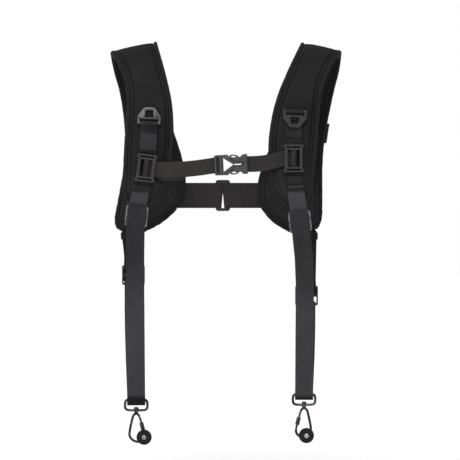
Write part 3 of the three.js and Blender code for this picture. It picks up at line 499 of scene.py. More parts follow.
@dataclass(frozen=True)
class Webbing(Finish):
    """Woven nylon webbing. Its UV map holds metres across and along the strap."""

    dark: Point = (0.005, 0.005, 0.0055)
    light: Point = (0.036, 0.036, 0.039)
    warp: float = 1.25 * MM
    pick: float = 0.95 * MM
    depth: float = 0.2 * MM
    roughness: float = 0.6
    base: float = -0.25
    # Painted light and shade by height: paler below one height, darker below the fold's height and darker in
    # a band of heights.
    paler_below: float = -10.0
    paler: float = 0.0
    fade: float = 4 * MM
    fold_at: float = -10.0
    fold_fade: float = 8 * MM
    fold_shade: float = 0.0
    shaded: tuple[float, float] = (-10.0, -9.0)
    shade_fade: float = 2 * MM
    shade: float = 0.0

    def paint(self, s: Shader) -> None:
        """Adds the finish's nodes.

        Args:
            s: the shader that they go into.
        """
        here = s.node("ShaderNodeUVMap", {"uv_map": "weave"}, {})
        parts = s.tree.nodes.new("ShaderNodeSeparateXYZ")
        s.tree.links.new(here.output, parts.inputs[0])
        across, along = Socket(s, parts.outputs[0]), Socket(s, parts.outputs[1])
        end = across / self.warp
        turn = end.floor() * math.pi
        rows = along * (2 * math.pi / self.pick) + turn
        ridge = ((end * math.pi).sine().size() * 0.65 + 0.35) * ((rows.sine() + 1) * 0.5)
        broad = s.noise(45 * MM, 3.0)
        fuzz = s.noise(0.7 * MM, 2.0)
        wear = s.noise(9 * MM, 3.0)
        share = ridge * 0.6 + broad * 0.45 + fuzz * 0.25 + wear * 0.3 + (self.base - 0.08)
        # Painted light: below paler_below the strap is painted paler, fading in over fade, in place of the
        # light on its lower run.
        if self.paler:
            height = s.height()
            share = share + (1 - height.between(self.paler_below, self.paler_below + self.fade)) * self.paler
            # Painted shade: below fold_at the strap is painted darker, where it curls away round the ring.
            share = share - (1 - height.between(self.fold_at - self.fold_fade, self.fold_at)) * self.fold_shade
            low, high = self.shaded
            soft = self.shade_fade
            inside = height.between(low - soft, low) * (1 - height.between(high, high + soft))
            share = share - inside * self.shade
        s.tint(self.dark, self.light, share)
        s.fixed(Sheen_Weight=0.02, Sheen_Roughness=0.45, Specular_IOR_Level=0.09)
        s.feed("Roughness", wear * 0.25 + (self.roughness - 0.1))
        s.bump(ridge + fuzz * 0.3, self.depth, 0.9)


@dataclass(frozen=True)
class WovenPatch(Finish):
    """Fine woven label cloth."""

    dark: Point = (0.004, 0.004, 0.0056)
    light: Point = (0.014, 0.014, 0.0182)
    yarn: float = 0.55 * MM

    def paint(self, s: Shader) -> None:
        """Adds the finish's nodes.

        Args:
            s: the shader that they go into.
        """
        parts = s.tree.nodes.new("ShaderNodeSeparateXYZ")
        s.tree.links.new(s.place(2 * math.pi / self.yarn).output, parts.inputs[0])
        x, z = Socket(s, parts.outputs[0]), Socket(s, parts.outputs[2])
        weave = (x.sine() * z.sine() + 1) * 0.5
        broad = s.noise(7 * MM, 3.0)
        s.tint(self.dark, self.light, weave * 0.4 + broad * 0.6)
        s.fixed(Roughness=0.7, Specular_IOR_Level=0.3)
        s.bump(weave, 0.06 * MM, 0.8)


@dataclass(frozen=True)
class Plastic(Finish):
    """Moulded plastic with a spark-eroded face."""

    dark: Point = (0.006, 0.006, 0.007)
    light: Point = (0.014, 0.014, 0.016)
    roughness: float = 0.36
    grain: float = 0.5 * MM

    def paint(self, s: Shader) -> None:
        """Adds the finish's nodes.

        Args:
            s: the shader that they go into.
        """
        grain = s.noise(self.grain, 4.0)
        flow = s.noise(14 * MM, 2.0)
        s.tint(self.dark, self.light, flow * 0.7 + grain * 0.3)
        s.feed("Roughness", grain * 0.2 + flow * 0.12 + (self.roughness - 0.16))
        s.fixed(Specular_IOR_Level=0.5)
        s.bump(grain, 0.05 * MM, 0.6)


@dataclass(frozen=True)
class Metal(Finish):
    """Plated or turned steel with fine scratches and rubbed places."""

    dark: Point = (0.05, 0.044, 0.042)
    light: Point = (0.17, 0.155, 0.15)
    roughness: float = 0.2

    def paint(self, s: Shader) -> None:
        """Adds the finish's nodes.

        Args:
            s: the shader that they go into.
        """
        scratch = s.noise(1.6 * MM, 4.0, (1, 1, 7))
        rubbed = s.noise(8 * MM, 3.0)
        s.tint(self.dark, self.light, rubbed.between(0.35, 0.65) * 0.7 + scratch * 0.3)
        s.feed("Roughness", scratch * 0.18 + rubbed * 0.14 + (self.roughness - 0.14))
        s.fixed(Metallic=1.0)
        s.bump(scratch, 0.02 * MM, 0.5)


@dataclass(frozen=True)
class Rubber(Finish):
    """Moulded rubber, dull and slightly dusty."""

    dark: Point = (0.002, 0.002, 0.0024)
    light: Point = (0.0085, 0.0085, 0.0095)

    def paint(self, s: Shader) -> None:
        """Adds the finish's nodes.

        Args:
            s: the shader that they go into.
        """
        dust = s.noise(2.5 * MM, 4.0)
        grain = s.noise(0.35 * MM, 2.0)
        s.tint(self.dark, self.light, dust * 0.7 + grain * 0.3)
        s.fixed(Roughness=0.7, Specular_IOR_Level=0.22)
        s.bump(grain, 0.08 * MM, 0.7)


@dataclass(frozen=True)
class Thread(Finish):
    """Twisted sewing thread."""

    colour: Point = (0.012, 0.012, 0.013)
    lit: Point = (0.04, 0.04, 0.042)

    def paint(self, s: Shader) -> None:
        """Adds the finish's nodes.

        Args:
            s: the shader that they go into.
        """
        strand = s.noise(0.4 * MM, 2.0)
        s.tint(self.colour, self.lit, strand)
        s.fixed(Roughness=0.6, Sheen_Weight=0.1)
        s.bump(strand, 0.06 * MM, 0.8)


@dataclass
class Wardrobe:
    """The harness's materials by the record's slots, each built once."""

    finishes: dict[str, Finish] = field(default_factory=lambda: {
        "pad_cloth": PadCloth(),
        "binding": BindingCloth(),
        # The ladder webbing is painted paler low down as painted light, and darker behind the chest sliders
        # as painted shade.
        "ladder_webbing": Webbing(dark=(0.002, 0.002, 0.0023), light=(0.047, 0.047, 0.05), base=-0.4,
                                  shaded=(-0.158, -0.128), shade=0.5,
                                  paler_below=-0.184, paler=0.5, fade=3 * MM),
        "body_webbing": Webbing(dark=(0.004, 0.0035, 0.0035), light=(0.046, 0.0425, 0.0415), pick=1.1 * MM),
        # The camera webbing is painted paler low down as painted light, and darker at its fold round the ring
        # as painted shade.
        "camera_webbing": Webbing(dark=(0.004, 0.004, 0.0044), light=(0.045, 0.045, 0.0485), base=-0.33,
                                  paler_below=-0.36, paler=0.36, fade=120 * MM,
                                  fold_at=-0.436, fold_shade=0.85),
        # Painted shade: a darker copy of the camera webbing for the rear tab, its fold and the webbing behind
        # the rear slider, where they lie in shade.
        "shaded_tab_webbing": Webbing(dark=(0.002, 0.002, 0.0022), light=(0.014, 0.014, 0.015)),
        "black_plastic": Plastic(dark=(0.004, 0.004, 0.0048), light=(0.011, 0.011, 0.0128), roughness=0.27),
        "grey_plastic": Plastic(dark=(0.015, 0.015, 0.017), light=(0.032, 0.032, 0.036), roughness=0.27),
        "triglide_steel": Metal(dark=(0.07, 0.07, 0.073), light=(0.22, 0.22, 0.227), roughness=0.25),
        "gunmetal": Metal(dark=(0.012, 0.0095, 0.009), light=(0.085, 0.07, 0.067), roughness=0.17),
        "screw_steel": Metal(dark=(0.2, 0.19, 0.185), light=(0.46, 0.44, 0.43), roughness=0.22),
        "washer_rubber": Rubber(),
        "patch": WovenPatch(),
        "thread": Thread(),
    })
    made: dict[str, bpy.types.Material] = field(default_factory=dict)

    def material(self, slot: str) -> bpy.types.Material:
        """The material of a slot, built when it is first asked for."""
        if slot not in self.made:
            self.made[slot] = self.finishes[slot].material(slot)
        return self.made[slot]

    def dress(self, piece: bpy.types.Object, slot: str, body: str, *nodes: str, finish: str = "") -> None:
        """Gives a piece its material, its body and the nodes that it stands for.

        Args:
            piece: the finished object.
            slot: the record's material slot.
            body: the body that it rides on.
            *nodes: the nodes that it replaces.
            finish: another finish than the slot's own, such as "thread".
        """
        piece.data.materials.clear()
        piece.data.materials.append(self.material(finish or slot))
        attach(piece, body)
        if nodes:
            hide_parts(*nodes)
        log.info("%s rides on %s with %d faces", piece.name, body, len(piece.data.polygons))


# Webbing


@dataclass
class Section:
    """One cross-section of a strap: its middle, the way across and the way out of its face."""

    middle: Vector
    across: Vector
    out: Vector

    def blend(self, other: "Section", share: float) -> "Section":
        """A section between this one and another."""
        return Section(
            self.middle.lerp(other.middle, share),
            self.across.lerp(other.across, share).normalized(),
            self.out.lerp(other.out, share).normalized(),
        )

    def at(self, across: float, out: float) -> Vector:
        """A point across and out from the middle, in metres."""
        return self.middle + self.across * across + self.out * out


def strap_sections(piece: bpy.types.Object) -> tuple[list[Section], float, float]:
    """Reads a strap's sections back from its plain solid, which has four corners at each.

    Args:
        piece: a merged copy of the strap's node.

    Returns:
        The sections from end to end, the strap's width and its thickness.
    """
    built = bmesh.new()
    built.from_mesh(piece.data)
    ends = [v for v in built.verts if len(v.link_edges) < 6]
    first = min(ends, key=lambda v: (len(v.link_edges), v.co.y, v.co.z))
    linked = {e.other_vert(first) for e in first.link_edges}
    ring = [first] + [v for v in ends if v in linked]
    if len(ring) < 4:
        ring += [v for v in ends if v not in ring and any(e.other_vert(v) in ring[1:] for e in v.link_edges)]
    ring = ring[:4]
    seen = set(ring)
    sections: list[Section] = []
    width = thickness = 0.0
    while ring:
        corner, *others = (v.co for v in ring)
        short, wide, _ = sorted((c - corner for c in others), key=lambda step: step.length)
        middle = sum((v.co for v in ring), Vector()) / len(ring)
        width, thickness = wide.length, short.length
        across, out = wide.normalized(), short.normalized()
        if sections:
            across = across if across.dot(sections[-1].across) > 0 else -across
            out = out if out.dot(sections[-1].out) > 0 else -out
        sections.append(Section(middle, across, out))
        following = {e.other_vert(v) for v in ring for e in v.link_edges} - seen
        ring = list(following)
        if ring and len(ring) != 4:
            raise ValueError(f"{piece.name} has a section of {len(ring)} corners")
        seen |= following
    built.free()
    return sections, width, thickness


@dataclass
class Strap:
    """One run of webbing, rebuilt round its plain solid's sections."""

    node: str
    slot: str
    body: str = "root"
    step: float = 5 * MM
    wave: float = 0.16 * MM
    curl: float = 0.25 * MM
    selvedge: float = 0.9 * MM
    sections: list[Section] = field(default_factory=list)
    width: float = 0.0
    thickness: float = 0.0

    def read(self, frame: dict) -> "Strap":
        """Reads the sections from the frame.


        Returns:
            This strap.
        """
        plain = node_copy(frame, self.node, self.node + "_plain")
        self.sections, self.width, self.thickness = strap_sections(plain)
        mesh = plain.data
        bpy.data.objects.remove(plain)
        bpy.data.meshes.remove(mesh)
        return self

    def trim(self, height: float) -> None:
        """Cuts away what lies above a height."""
        kept: list[Section] = []
        for a, b in zip(self.sections, self.sections[1:]):
            if a.middle.z < height:
                kept.append(a)
            if (a.middle.z - height) * (b.middle.z - height) < 0:
                kept.append(a.blend(b, (height - a.middle.z) / (b.middle.z - a.middle.z)))
        if self.sections[-1].middle.z < height:
            kept.append(self.sections[-1])
        self.sections = kept

    def profile(self) -> list[tuple[float, float]]:
        """The section's outline: across from the middle, and the share of the half thickness."""
        half = self.width / 2
        edge = self.selvedge
        top = [
            (-half + 0.25 * edge, 0.72), (-half + 0.8 * edge, 1.0), (-half + 2.4 * edge, 0.9),
            (-half * 0.4, 0.93), (half * 0.4, 0.93),
            (half - 2.4 * edge, 0.9), (half - 0.8 * edge, 1.0), (half - 0.25 * edge, 0.72),
        ]
        return [(-half, 0.0), *top, (half, 0.0), *((x, -y) for x, y in reversed(top))]

    def dense(self) -> list[tuple[Section, float]]:
        """The sections with more of them on long runs, each with its length along the strap."""
        made = [(self.sections[0], 0.0)]
        run = 0.0
        for a, b in zip(self.sections, self.sections[1:]):
            gap = (b.middle - a.middle).length
            count = max(1, round(gap / self.step))
            for i in range(1, count + 1):
                made.append((a.blend(b, i / count), run + gap * i / count))
            run += gap
        return made

    def build(self, name: str) -> bpy.types.Object:
        """Builds the strap's mesh with its woven UV map.

        Args:
            name: the piece's name.

        Returns:
            The finished strap.
        """
        profile = self.profile()
        sides = len(profile)
        dense = self.dense()
        total = dense[-1][1]
        half = self.width / 2
        phase = sum(ord(letter) for letter in self.node) * 0.37
        points, places = [], []
        for section, run in dense:
            ends = min(1.0, min(run, total - run) / (8 * MM))
            lift = self.wave * ends * math.sin(run / (17 * MM) + phase)
            twist = self.wave * ends * math.sin(run / (29 * MM) + 2 * phase)
            for x, share in profile:
                bend = self.curl * ends * (x / half) ** 2 * math.sin(run / (41 * MM) + phase)
                out = share * self.thickness / 2 + lift + twist * x / half + bend
                points.append(section.at(x, out))
                places.append((x, run))
        faces = []
        for i in range(len(dense) - 1):
            for s in range(sides):
                t = (s + 1) % sides
                faces.append((i * sides + s, i * sides + t, (i + 1) * sides + t, (i + 1) * sides + s))
        faces.append(tuple(range(sides)))
        last = (len(dense) - 1) * sides
        faces.append(tuple(last + s for s in reversed(range(sides))))
        strap = mesh_piece(name, points, faces)
        layer = strap.data.uv_layers.new(name="weave")
        for loop in strap.data.loops:
            layer.data[loop.index].uv = places[loop.vertex_index]
        recalculate(strap)
        modify(strap, "SUBSURF", levels=1, render_levels=1)
        smooth(strap)
        return strap

    def front_at(self, place: float, axis: int = 2) -> Section:
        """The front run's section at a place, its out direction towards the viewer.

        Args:
            place: a height along Z or, with axis 0, a place along X, in metres.
            axis: 2 for a strap that hangs, 0 for one that runs across.

        Returns:
            The frontmost section there.
        """
        found = []
        for a, b in zip(self.sections, self.sections[1:]):
            low, high = sorted((a.middle[axis], b.middle[axis]))
            if low <= place <= high and high - low > 0.4 * MM:
                share = (place - a.middle[axis]) / (b.middle[axis] - a.middle[axis])
                found.append(a.blend(b, share))
        here = min(found, key=lambda section: section.middle.y)
        if here.out.y > 0:
            here.out = -here.out
        if here.across[2 - axis] < 0:
            here.across = -here.across
        return here


# Shoulder pads


@dataclass
class ShoulderPad:
    """One padded panel with its rolled rim."""

    side: Side
    voxel: float = 2.5 * MM
    swell: float = 1.3 * MM
    pressure: float = 4.0
    steps: int = 20
    rim_from: float = 1.0 * MM
    rim_to: float = 8.0 * MM
    tuck: float = 0.7 * MM
    tuck_from: float = 3.4 * MM
    channel_at: float = 4.6 * MM
    channel_w: float = 1.3 * MM
    channel_depth: float = 0.45 * MM
    pucker: float = 0.25 * MM
    rim_round: float = 0.9 * MM

    def build(self, frame: dict, wardrobe: Wardrobe) -> None:
        """Builds and dresses the pad and its rim.

        Args:
            wardrobe: the materials.
        """
        pad_node, rim_node = self.side.node("shoulder_pad"), self.side.node("pad_binding")
        rim = self._rim(frame, rim_node)
        pad = node_copy(frame, pad_node, self.side.node("soft_pad"))
        modify(pad, "REMESH", mode="VOXEL", voxel_size=self.voxel, use_smooth_shade=True)
        start = self._places(pad)
        self._swell(pad)
        self._settle_shape(pad, start, frame["nodes"][rim_node])
        modify(pad, "SUBSURF", levels=1, render_levels=1)
        self._mark_channel(pad, frame["nodes"][rim_node])
        smooth(pad)
        wardrobe.dress(pad, "pad_cloth", "root", pad_node)
        wardrobe.dress(rim, "binding", "root", rim_node)

    @staticmethod
    def _places(piece: bpy.types.Object) -> np.ndarray:
        """The piece's points as an array of rows."""
        flat = np.empty(len(piece.data.vertices) * 3)
        piece.data.vertices.foreach_get("co", flat)
        return flat.reshape(-1, 3)

    @staticmethod
    def _normals(piece: bpy.types.Object) -> np.ndarray:
        """A piece's corner normals, one to a row."""
        normals = np.empty(len(piece.data.vertices) * 3)
        piece.data.vertices.foreach_get("normal", normals)
        return normals.reshape(-1, 3)

    def _swell(self, pad: bpy.types.Object) -> None:
        """Blows the pad up a little by a cloth simulation and applies the result."""
        activate(pad)
        modifier = pad.modifiers.new("Swell", "CLOTH")
        settings = modifier.settings
        settings.use_pressure = True
        settings.uniform_pressure_force = self.pressure
        settings.effector_weights.gravity = 0
        settings.tension_stiffness = 20
        settings.bending_stiffness = 4
        modifier.point_cache.frame_start = 1
        modifier.point_cache.frame_end = self.steps
        scene = bpy.context.scene
        for frame_number in range(1, self.steps + 1):
            scene.frame_set(frame_number)
        activate(pad)
        bpy.ops.object.modifier_apply(modifier=modifier.name)
        scene.frame_set(1)

    def _distances(self, places: np.ndarray, rim: bpy.types.Object) -> tuple[np.ndarray, np.ndarray]:
        """How far points lie from the rim's solid.

        Args:
            places: the points, one to a row.
            rim: the rim's node.

        Returns:
            The distances and the nearest points on the rim.
        """
        mesh = rim.data
        corners = [v.co.copy() for v in mesh.vertices]
        tree = BVHTree.FromPolygons(corners, [tuple(p.vertices) for p in mesh.polygons])
        near = [tree.find_nearest(Vector(place)) for place in places]
        return np.array([n[3] for n in near]), np.array([tuple(n[0]) for n in near])

    def _settle_shape(self, pad: bpy.types.Object, start: np.ndarray, rim: bpy.types.Object) -> None:
        """Caps the swelling, fades it towards the rim and moves the border under the rim.

        Args:
            pad: the swollen pad.
            start: its points before it was swollen.
            rim: the rim's node.
        """
        moved = self._places(pad) - start
        far = np.linalg.norm(moved, axis=1)
        capped = moved * (np.minimum(far, self.swell) / np.maximum(far, 1e-9))[:, None]
        distance, nearest = self._distances(start, rim)
        share = np.clip((distance - self.rim_from) / (self.rim_to - self.rim_from), 0, 1)
        fade = share * share * (3 - 2 * share)
        towards = nearest - start
        near = np.clip(1 - distance / self.tuck_from, 0, 1)
        near = near * near * (3 - 2 * near)
        pull = near * (distance + self.tuck)
        step = towards / np.maximum(distance, 1e-9)[:, None] * pull[:, None]
        places = start + capped * fade[:, None] + step
        pad.data.vertices.foreach_set("co", places.ravel())
        pad.data.update()

    def _mark_channel(self, pad: bpy.types.Object, rim: bpy.types.Object) -> None:
        """Presses the sewn channel in along the rim and keeps each point's distance for the finish."""
        places = self._places(pad)
        distance, _ = self._distances(places, rim)
        normals = self._normals(pad)
        dip = np.exp(-(((distance - self.channel_at) / self.channel_w) ** 2)) * self.channel_depth
        pad.data.vertices.foreach_set("co", (places - normals * dip[:, None]).ravel())
        layer = pad.data.attributes.new("rim_distance", "FLOAT", "POINT")
        layer.data.foreach_set("value", distance.astype(np.float32))
        pad.data.update()

    def _rim(self, frame: dict, node: str) -> bpy.types.Object:
        """The rolled rim with its gathers.

        Args:
            node: the rim's node.

        Returns:
            The finished rim.
        """
        rim = node_copy(frame, node, self.side.node("rolled_rim"))
        activate(rim)
        bpy.ops.object.mode_set(mode="EDIT")
        bpy.ops.mesh.select_all(action="SELECT")
        bpy.ops.mesh.tris_convert_to_quads(face_threshold=math.pi, shape_threshold=math.pi)
        bpy.ops.object.mode_set(mode="OBJECT")
        modify(rim, "BEVEL", width=self.rim_round, segments=2, limit_method="ANGLE",
               angle_limit=math.radians(28))
        modify(rim, "SUBSURF", levels=2, render_levels=2)
        places = self._places(rim)
        normals = self._normals(rim)
        x, y, z = places.T / MM
        wave = np.sin(z * 1.15 + x * 0.5) * 0.5 + np.sin(z * 0.47 + y * 0.9 + x * 0.2) * 0.5
        corner = np.clip((-z - 170) / 40, 0, 1)
        depth = self.pucker * (0.6 + 0.9 * corner)
        rim.data.vertices.foreach_set("co", (places + normals * (wave * depth)[:, None]).ravel())
        rim.data.update()
        smooth(rim)
        return rim


# Moulded and stamped fittings


@dataclass
class Fitting:
    """A plate with slots, taken from its node, with its edges rounded."""

    node: str
    slot: str
    body: str = "root"
    rounding: float = 0.35 * MM
    segments: int = 3

    def build(self, frame: dict, wardrobe: Wardrobe) -> bpy.types.Object:
        """Builds and dresses the fitting.

        Args:
            wardrobe: the materials.

        Returns:
            The fitting.
        """
        piece = node_copy(frame, self.node, self.node + "_rounded")
        activate(piece)
        bpy.ops.object.mode_set(mode="EDIT")
        bpy.ops.mesh.select_all(action="SELECT")
        bpy.ops.mesh.dissolve_limited(angle_limit=math.radians(1))
        bpy.ops.object.mode_set(mode="OBJECT")
        modify(piece, "BEVEL", width=self.rounding, segments=self.segments, limit_method="ANGLE",
               angle_limit=math.radians(38), harden_normals=False)
        smooth(piece, 35)
        wardrobe.dress(piece, self.slot, self.body, self.node)
        return piece


def moulded(name: str, loops: Sequence[Sequence[Point]], thickness: float, place: Matrix,
            rounding: float = 0.45 * MM) -> bpy.types.Object:
    """A moulded plate of an outline with holes, its edges rounded.

    Args:
        name: the piece's name.
        loops: the outline and then its holes, in millimetres across and up.
        thickness: its thickness, in metres.
        place: its middle and turn; the plate stands upright and faces the viewer.
        rounding: the radius of its edges, in metres.

    Returns:
        The plate, in its place.
    """
    curve = bpy.data.curves.new(name, "CURVE")
    curve.dimensions = "2D"
    curve.fill_mode = "BOTH"
    curve.extrude = thickness / 2
    for loop in loops:
        line = curve.splines.new("POLY")
        line.points.add(len(loop) - 1)
        for corner, (x, y) in zip(line.points, loop):
            corner.co = (x * MM, y * MM, 0, 1)
        line.use_cyclic_u = True
    plate = bpy.data.objects.new(name, curve)
    bpy.context.scene.collection.objects.link(plate)
    activate(plate)
    bpy.ops.object.convert(target="MESH")
    plate = bpy.context.view_layer.objects.active
    plate.matrix_world = place @ Matrix.Rotation(math.pi / 2, 4, "X")
    settle(plate)
    recalculate(plate)
    activate(plate)
    bpy.ops.object.mode_set(mode="EDIT")
    bpy.ops.mesh.select_all(action="SELECT")
    bpy.ops.mesh.dissolve_limited(angle_limit=math.radians(1))
    bpy.ops.object.mode_set(mode="OBJECT")
    modify(plate, "BEVEL", width=rounding, segments=3, limit_method="ANGLE", angle_limit=math.radians(50))
    smooth(plate, 40)
    return plate


def rounded_box(x0: float, y0: float, x1: float, y1: float, radius: float, steps: int = 4) -> list[Point]:
    """A box's outline with round corners, in millimetres."""
    outline = []
    for x, y, start in ((x1 - radius, y1 - radius, 0), (x0 + radius, y1 - radius, 90),
                        (x0 + radius, y0 + radius, 180), (x1 - radius, y0 + radius, 270)):
        for step in range(steps + 1):
            a = math.radians(start + 90 * step / steps)
            outline.append((x + radius * math.cos(a), y + radius * math.sin(a)))
    return outline


def oval(x: float, y: float, half_w: float, half_h: float, steps: int = 20) -> list[Point]:
    """An oval's outline in millimetres."""
    turns = (2 * math.pi * i / steps for i in range(steps))
    return [(x + half_w * math.cos(a), y + half_h * math.sin(a)) for a in turns]


def mirrored(upper: Sequence[Point]) -> list[Point]:
    """An outline from its upper half, mirrored about the line across."""
    return [*upper, *((x, -y) for x, y in reversed(upper))]


# Turned and bent metal


def lathed(name: str, profile: Sequence[tuple[float, float]], place: Vector, along: str = "Z",
           sides: int = 48) -> bpy.types.Object:
    """Turns a profile about an axis.

    Args:
        name: the piece's name.
        profile: radius and height of each point, from end to end.
        place: where the profile's zero height lies.
        along: the axis, "Z", or "-Y" for a piece that faces the viewer.
        sides: how many steps make the round.

    Returns:
        The turned piece.
    """
    points = [(radius, 0.0, height) for radius, height in profile]
    mesh = bpy.data.meshes.new(name)
    mesh.from_pydata(points, [(i, i + 1) for i in range(len(points) - 1)], [])
    turned = bpy.data.objects.new(name, mesh)
    bpy.context.scene.collection.objects.link(turned)
    modify(turned, "SCREW", angle=2 * math.pi, steps=sides, render_steps=sides, use_merge_vertices=True,
           merge_threshold=1e-6)
    recalculate(turned)
    if along == "-Y":
        turned.rotation_euler = (math.pi / 2, 0, 0)
    turned.location = place
    settle(turned)
    smooth(turned, 40)
    return turned


def bent_wire(name: str, points: Sequence[Vector], radius: float, closed: bool = False) -> bpy.types.Object:
    """Bends round wire along a smooth line.

    Args:
        name: the piece's name.
        points: places on its middle line, in metres.
        radius: the wire's radius.
        closed: whether it ends where it starts.

    Returns:
        The wire as a mesh.
    """
    curve = bpy.data.curves.new(name, "CURVE")
    curve.dimensions = "3D"
    curve.bevel_depth = radius
    curve.bevel_resolution = 5
    curve.resolution_u = 8
    curve.use_fill_caps = True
    line = curve.splines.new("BEZIER")
    line.bezier_points.add(len(points) - 1)
    for corner, place in zip(line.bezier_points, points):
        corner.co = place
        corner.handle_left_type = corner.handle_right_type = "AUTO"
    line.use_cyclic_u = closed
    wire = bpy.data.objects.new(name, curve)
    bpy.context.scene.collection.objects.link(wire)
    activate(wire)
    bpy.ops.object.convert(target="MESH")
    wire = bpy.context.view_layer.objects.active
    recalculate(wire)
    smooth(wire, 50)
    return wire


@dataclass
class SwivelClip:
    """The wire ring in the strap's fold, the carabiner on its swivel pin and the camera screw."""

    side: Side
    wire_r: float = 1.5 * MM
    shown_r: float = 1.62 * MM
    bow_r: float = 1.62 * MM
    ring_w: float = 31 * MM
    ring_h: float = 13 * MM
    ring_corner: float = 4 * MM
    boss_r: float = 3.2 * MM
    boss_h: float = 4 * MM
    pin_r: float = 1.5 * MM
    dome_r: float = 3 * MM
    dome_h: float = 2 * MM
    neck_h: float = 2.4 * MM
    neck_r: float = 2.4 * MM
    gap: float = 0.3 * MM
    clip_w: float = 22 * MM
    clip_h: float = 35.5 * MM
    gate_gap: float = 0.35 * MM
    sleeve_r: float = 2.65 * MM
    sleeve_l: float = 10 * MM
    bore_gap: float = 0.5 * MM
    eye_r: float = 2.95 * MM
    eye_wire_r: float = 0.8 * MM
    eye_reach: float = 3.7 * MM
    plate_r: float = 6 * MM
    plate_t: float = 2 * MM
    washer_r: float = 9.6 * MM
    washer_t: float = 2.6 * MM
    screw_r: float = 3.1 * MM
    screw_l: float = 4 * MM
    pitch: float = 1.27 * MM
    hinge: Point = (0.225, -0.165)
    nose: Point = (0.465, -0.74)
    line: Sequence[Point] = (
        (0.2, -0.118), (0.13, -0.045), (0.06, -0.008), (-0.03, -0.004), (-0.12, -0.035), (-0.185, -0.1),
        (-0.24, -0.22), (-0.38, -0.66), (-0.39, -0.74), (-0.34, -0.84), (-0.23, -0.92), (-0.07, -0.975),
        (0.12, -1.0), (0.28, -0.985), (0.4, -0.92), (0.46, -0.83), (0.465, -0.74),
    )

    def build(self, frame: dict, wardrobe: Wardrobe) -> None:
        """Builds and dresses the clip's pieces.

        Args:
            wardrobe: the materials.
        """
        low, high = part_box(self.side.node("swivel_ring"))
        self.bar = Vector(((low.x + high.x) / 2, (low.y + high.y) / 2, high.z - self.wire_r))
        self.apex = self.bar - Vector((0, 0, self.ring_h + self.boss_h / 2 + self.gap + self.neck_h))
        body = self.side.node
        wardrobe.dress(self._ring(), "gunmetal", body("swivel_ring"), body("swivel_ring"))
        wardrobe.dress(self._bow(), "gunmetal", body("carabiner"), body("carabiner"))
        wardrobe.dress(self._gate(), "gunmetal", body("gate"), body("gate"))
        wardrobe.dress(self._sleeve(), "gunmetal", body("gate_sleeve"), body("gate_sleeve"))
        low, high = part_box(self.side.node("rubber_washer"))
        centre = Vector(((low.x + high.x) / 2, self.bar.y, (low.z + high.z) / 2))
        wardrobe.dress(self._screw(centre), "screw_steel", body("carabiner"), body("camera_screw"))
        wardrobe.dress(self._washer(centre), "washer_rubber", body("carabiner"), body("rubber_washer"))

    def _place(self, share: Point) -> Vector:
        """A point of the carabiner's plane from its shares across and down."""
        return self.apex + Vector((-self.side.sign * share[0] * self.clip_w, 0, share[1] * self.clip_h))

    def _ring(self) -> bpy.types.Object:
        """The rounded wire ring with its boss."""
        half, corner = self.ring_w / 2 - self.wire_r, self.ring_corner
        points = []
        aside, low = half - corner, corner - self.ring_h
        corners = ((aside, -corner, 0), (-aside, -corner, 90), (-aside, low, 180), (aside, low, 270))
        for x, z, start in corners:
            for step in range(4):
                a = math.radians(start + 30 * step)
                points.append(self.bar + Vector((x + corner * math.cos(a), 0, z + corner * math.sin(a))))
        wire = bent_wire(self.side.node("ring_wire"), points, self.shown_r, closed=True)
        edge, half_h = 0.5 * MM, self.boss_h / 2
        profile = [
            (0, -half_h), (self.boss_r - edge, -half_h), (self.boss_r, edge - half_h),
            (self.boss_r, half_h - edge), (self.boss_r - edge, half_h), (0, half_h),
        ]
        boss = lathed("boss", profile, self.bar - Vector((0, 0, self.ring_h)))
        return joined(self.side.node("ring_wire"), [wire, boss])

    def _bow(self) -> bpy.types.Object:
        """The carabiner's bent wire with its neck, pin and dome."""
        bow = bent_wire(self.side.node("carabiner_bow"), [self._place(p) for p in self.line], self.bow_r)
        top = self.neck_h + self.boss_h + 2 * self.gap
        ring = 0.4 * MM
        profile = [
            (0, -0.8 * MM), (self.neck_r * 0.8, -0.8 * MM),
            (self.neck_r, -0.2 * MM), (self.neck_r, self.neck_h * 0.4),
            (self.neck_r + ring, self.neck_h * 0.5), (self.neck_r + ring, self.neck_h - 0.4 * MM),
            (self.neck_r, self.neck_h - 0.1 * MM),
            (self.pin_r, self.neck_h - 0.1 * MM), (self.pin_r, top - self.gap),
            (self.dome_r - 0.2 * MM, top - self.gap), (self.dome_r, top - self.gap + 0.2 * MM),
            (self.dome_r * 0.93, top + self.dome_h * 0.35), (self.dome_r * 0.7, top + self.dome_h * 0.68),
            (self.dome_r * 0.4, top + self.dome_h * 0.82), (0, top - self.gap + self.dome_h),
        ]
        pin = lathed("pin", profile, self.apex)
        return joined(self.side.node("carabiner_bow"), [bow, pin])

    def _gate_line(self) -> tuple[Vector, Vector, float]:
        """The gate's hinge, its direction and its length."""
        hinge, nose = self._place(self.hinge), self._place(self.nose)
        run = nose - hinge
        return hinge, run.normalized(), run.length

    def _gate(self) -> bpy.types.Object:
        """The hinged gate with its knuckle."""
        hinge, run, length = self._gate_line()
        stretch = length - self.gate_gap
        points = [hinge + run * (stretch * t / 4) for t in range(5)]
        rod = bent_wire(self.side.node("gate_rod"), points, self.wire_r * 0.93)
        deselect()
        bpy.ops.mesh.primitive_cylinder_add(vertices=32, radius=self.wire_r * 1.05, depth=2.1 * self.wire_r,
                                            location=hinge, rotation=(math.pi / 2, 0, 0))
        knuckle = settle(bpy.context.active_object)
        modify(knuckle, "BEVEL", width=0.25 * MM, segments=2, limit_method="ANGLE",
               angle_limit=math.radians(40))
        smooth(knuckle, 40)
        return joined(self.side.node("gate_rod"), [rod, knuckle])

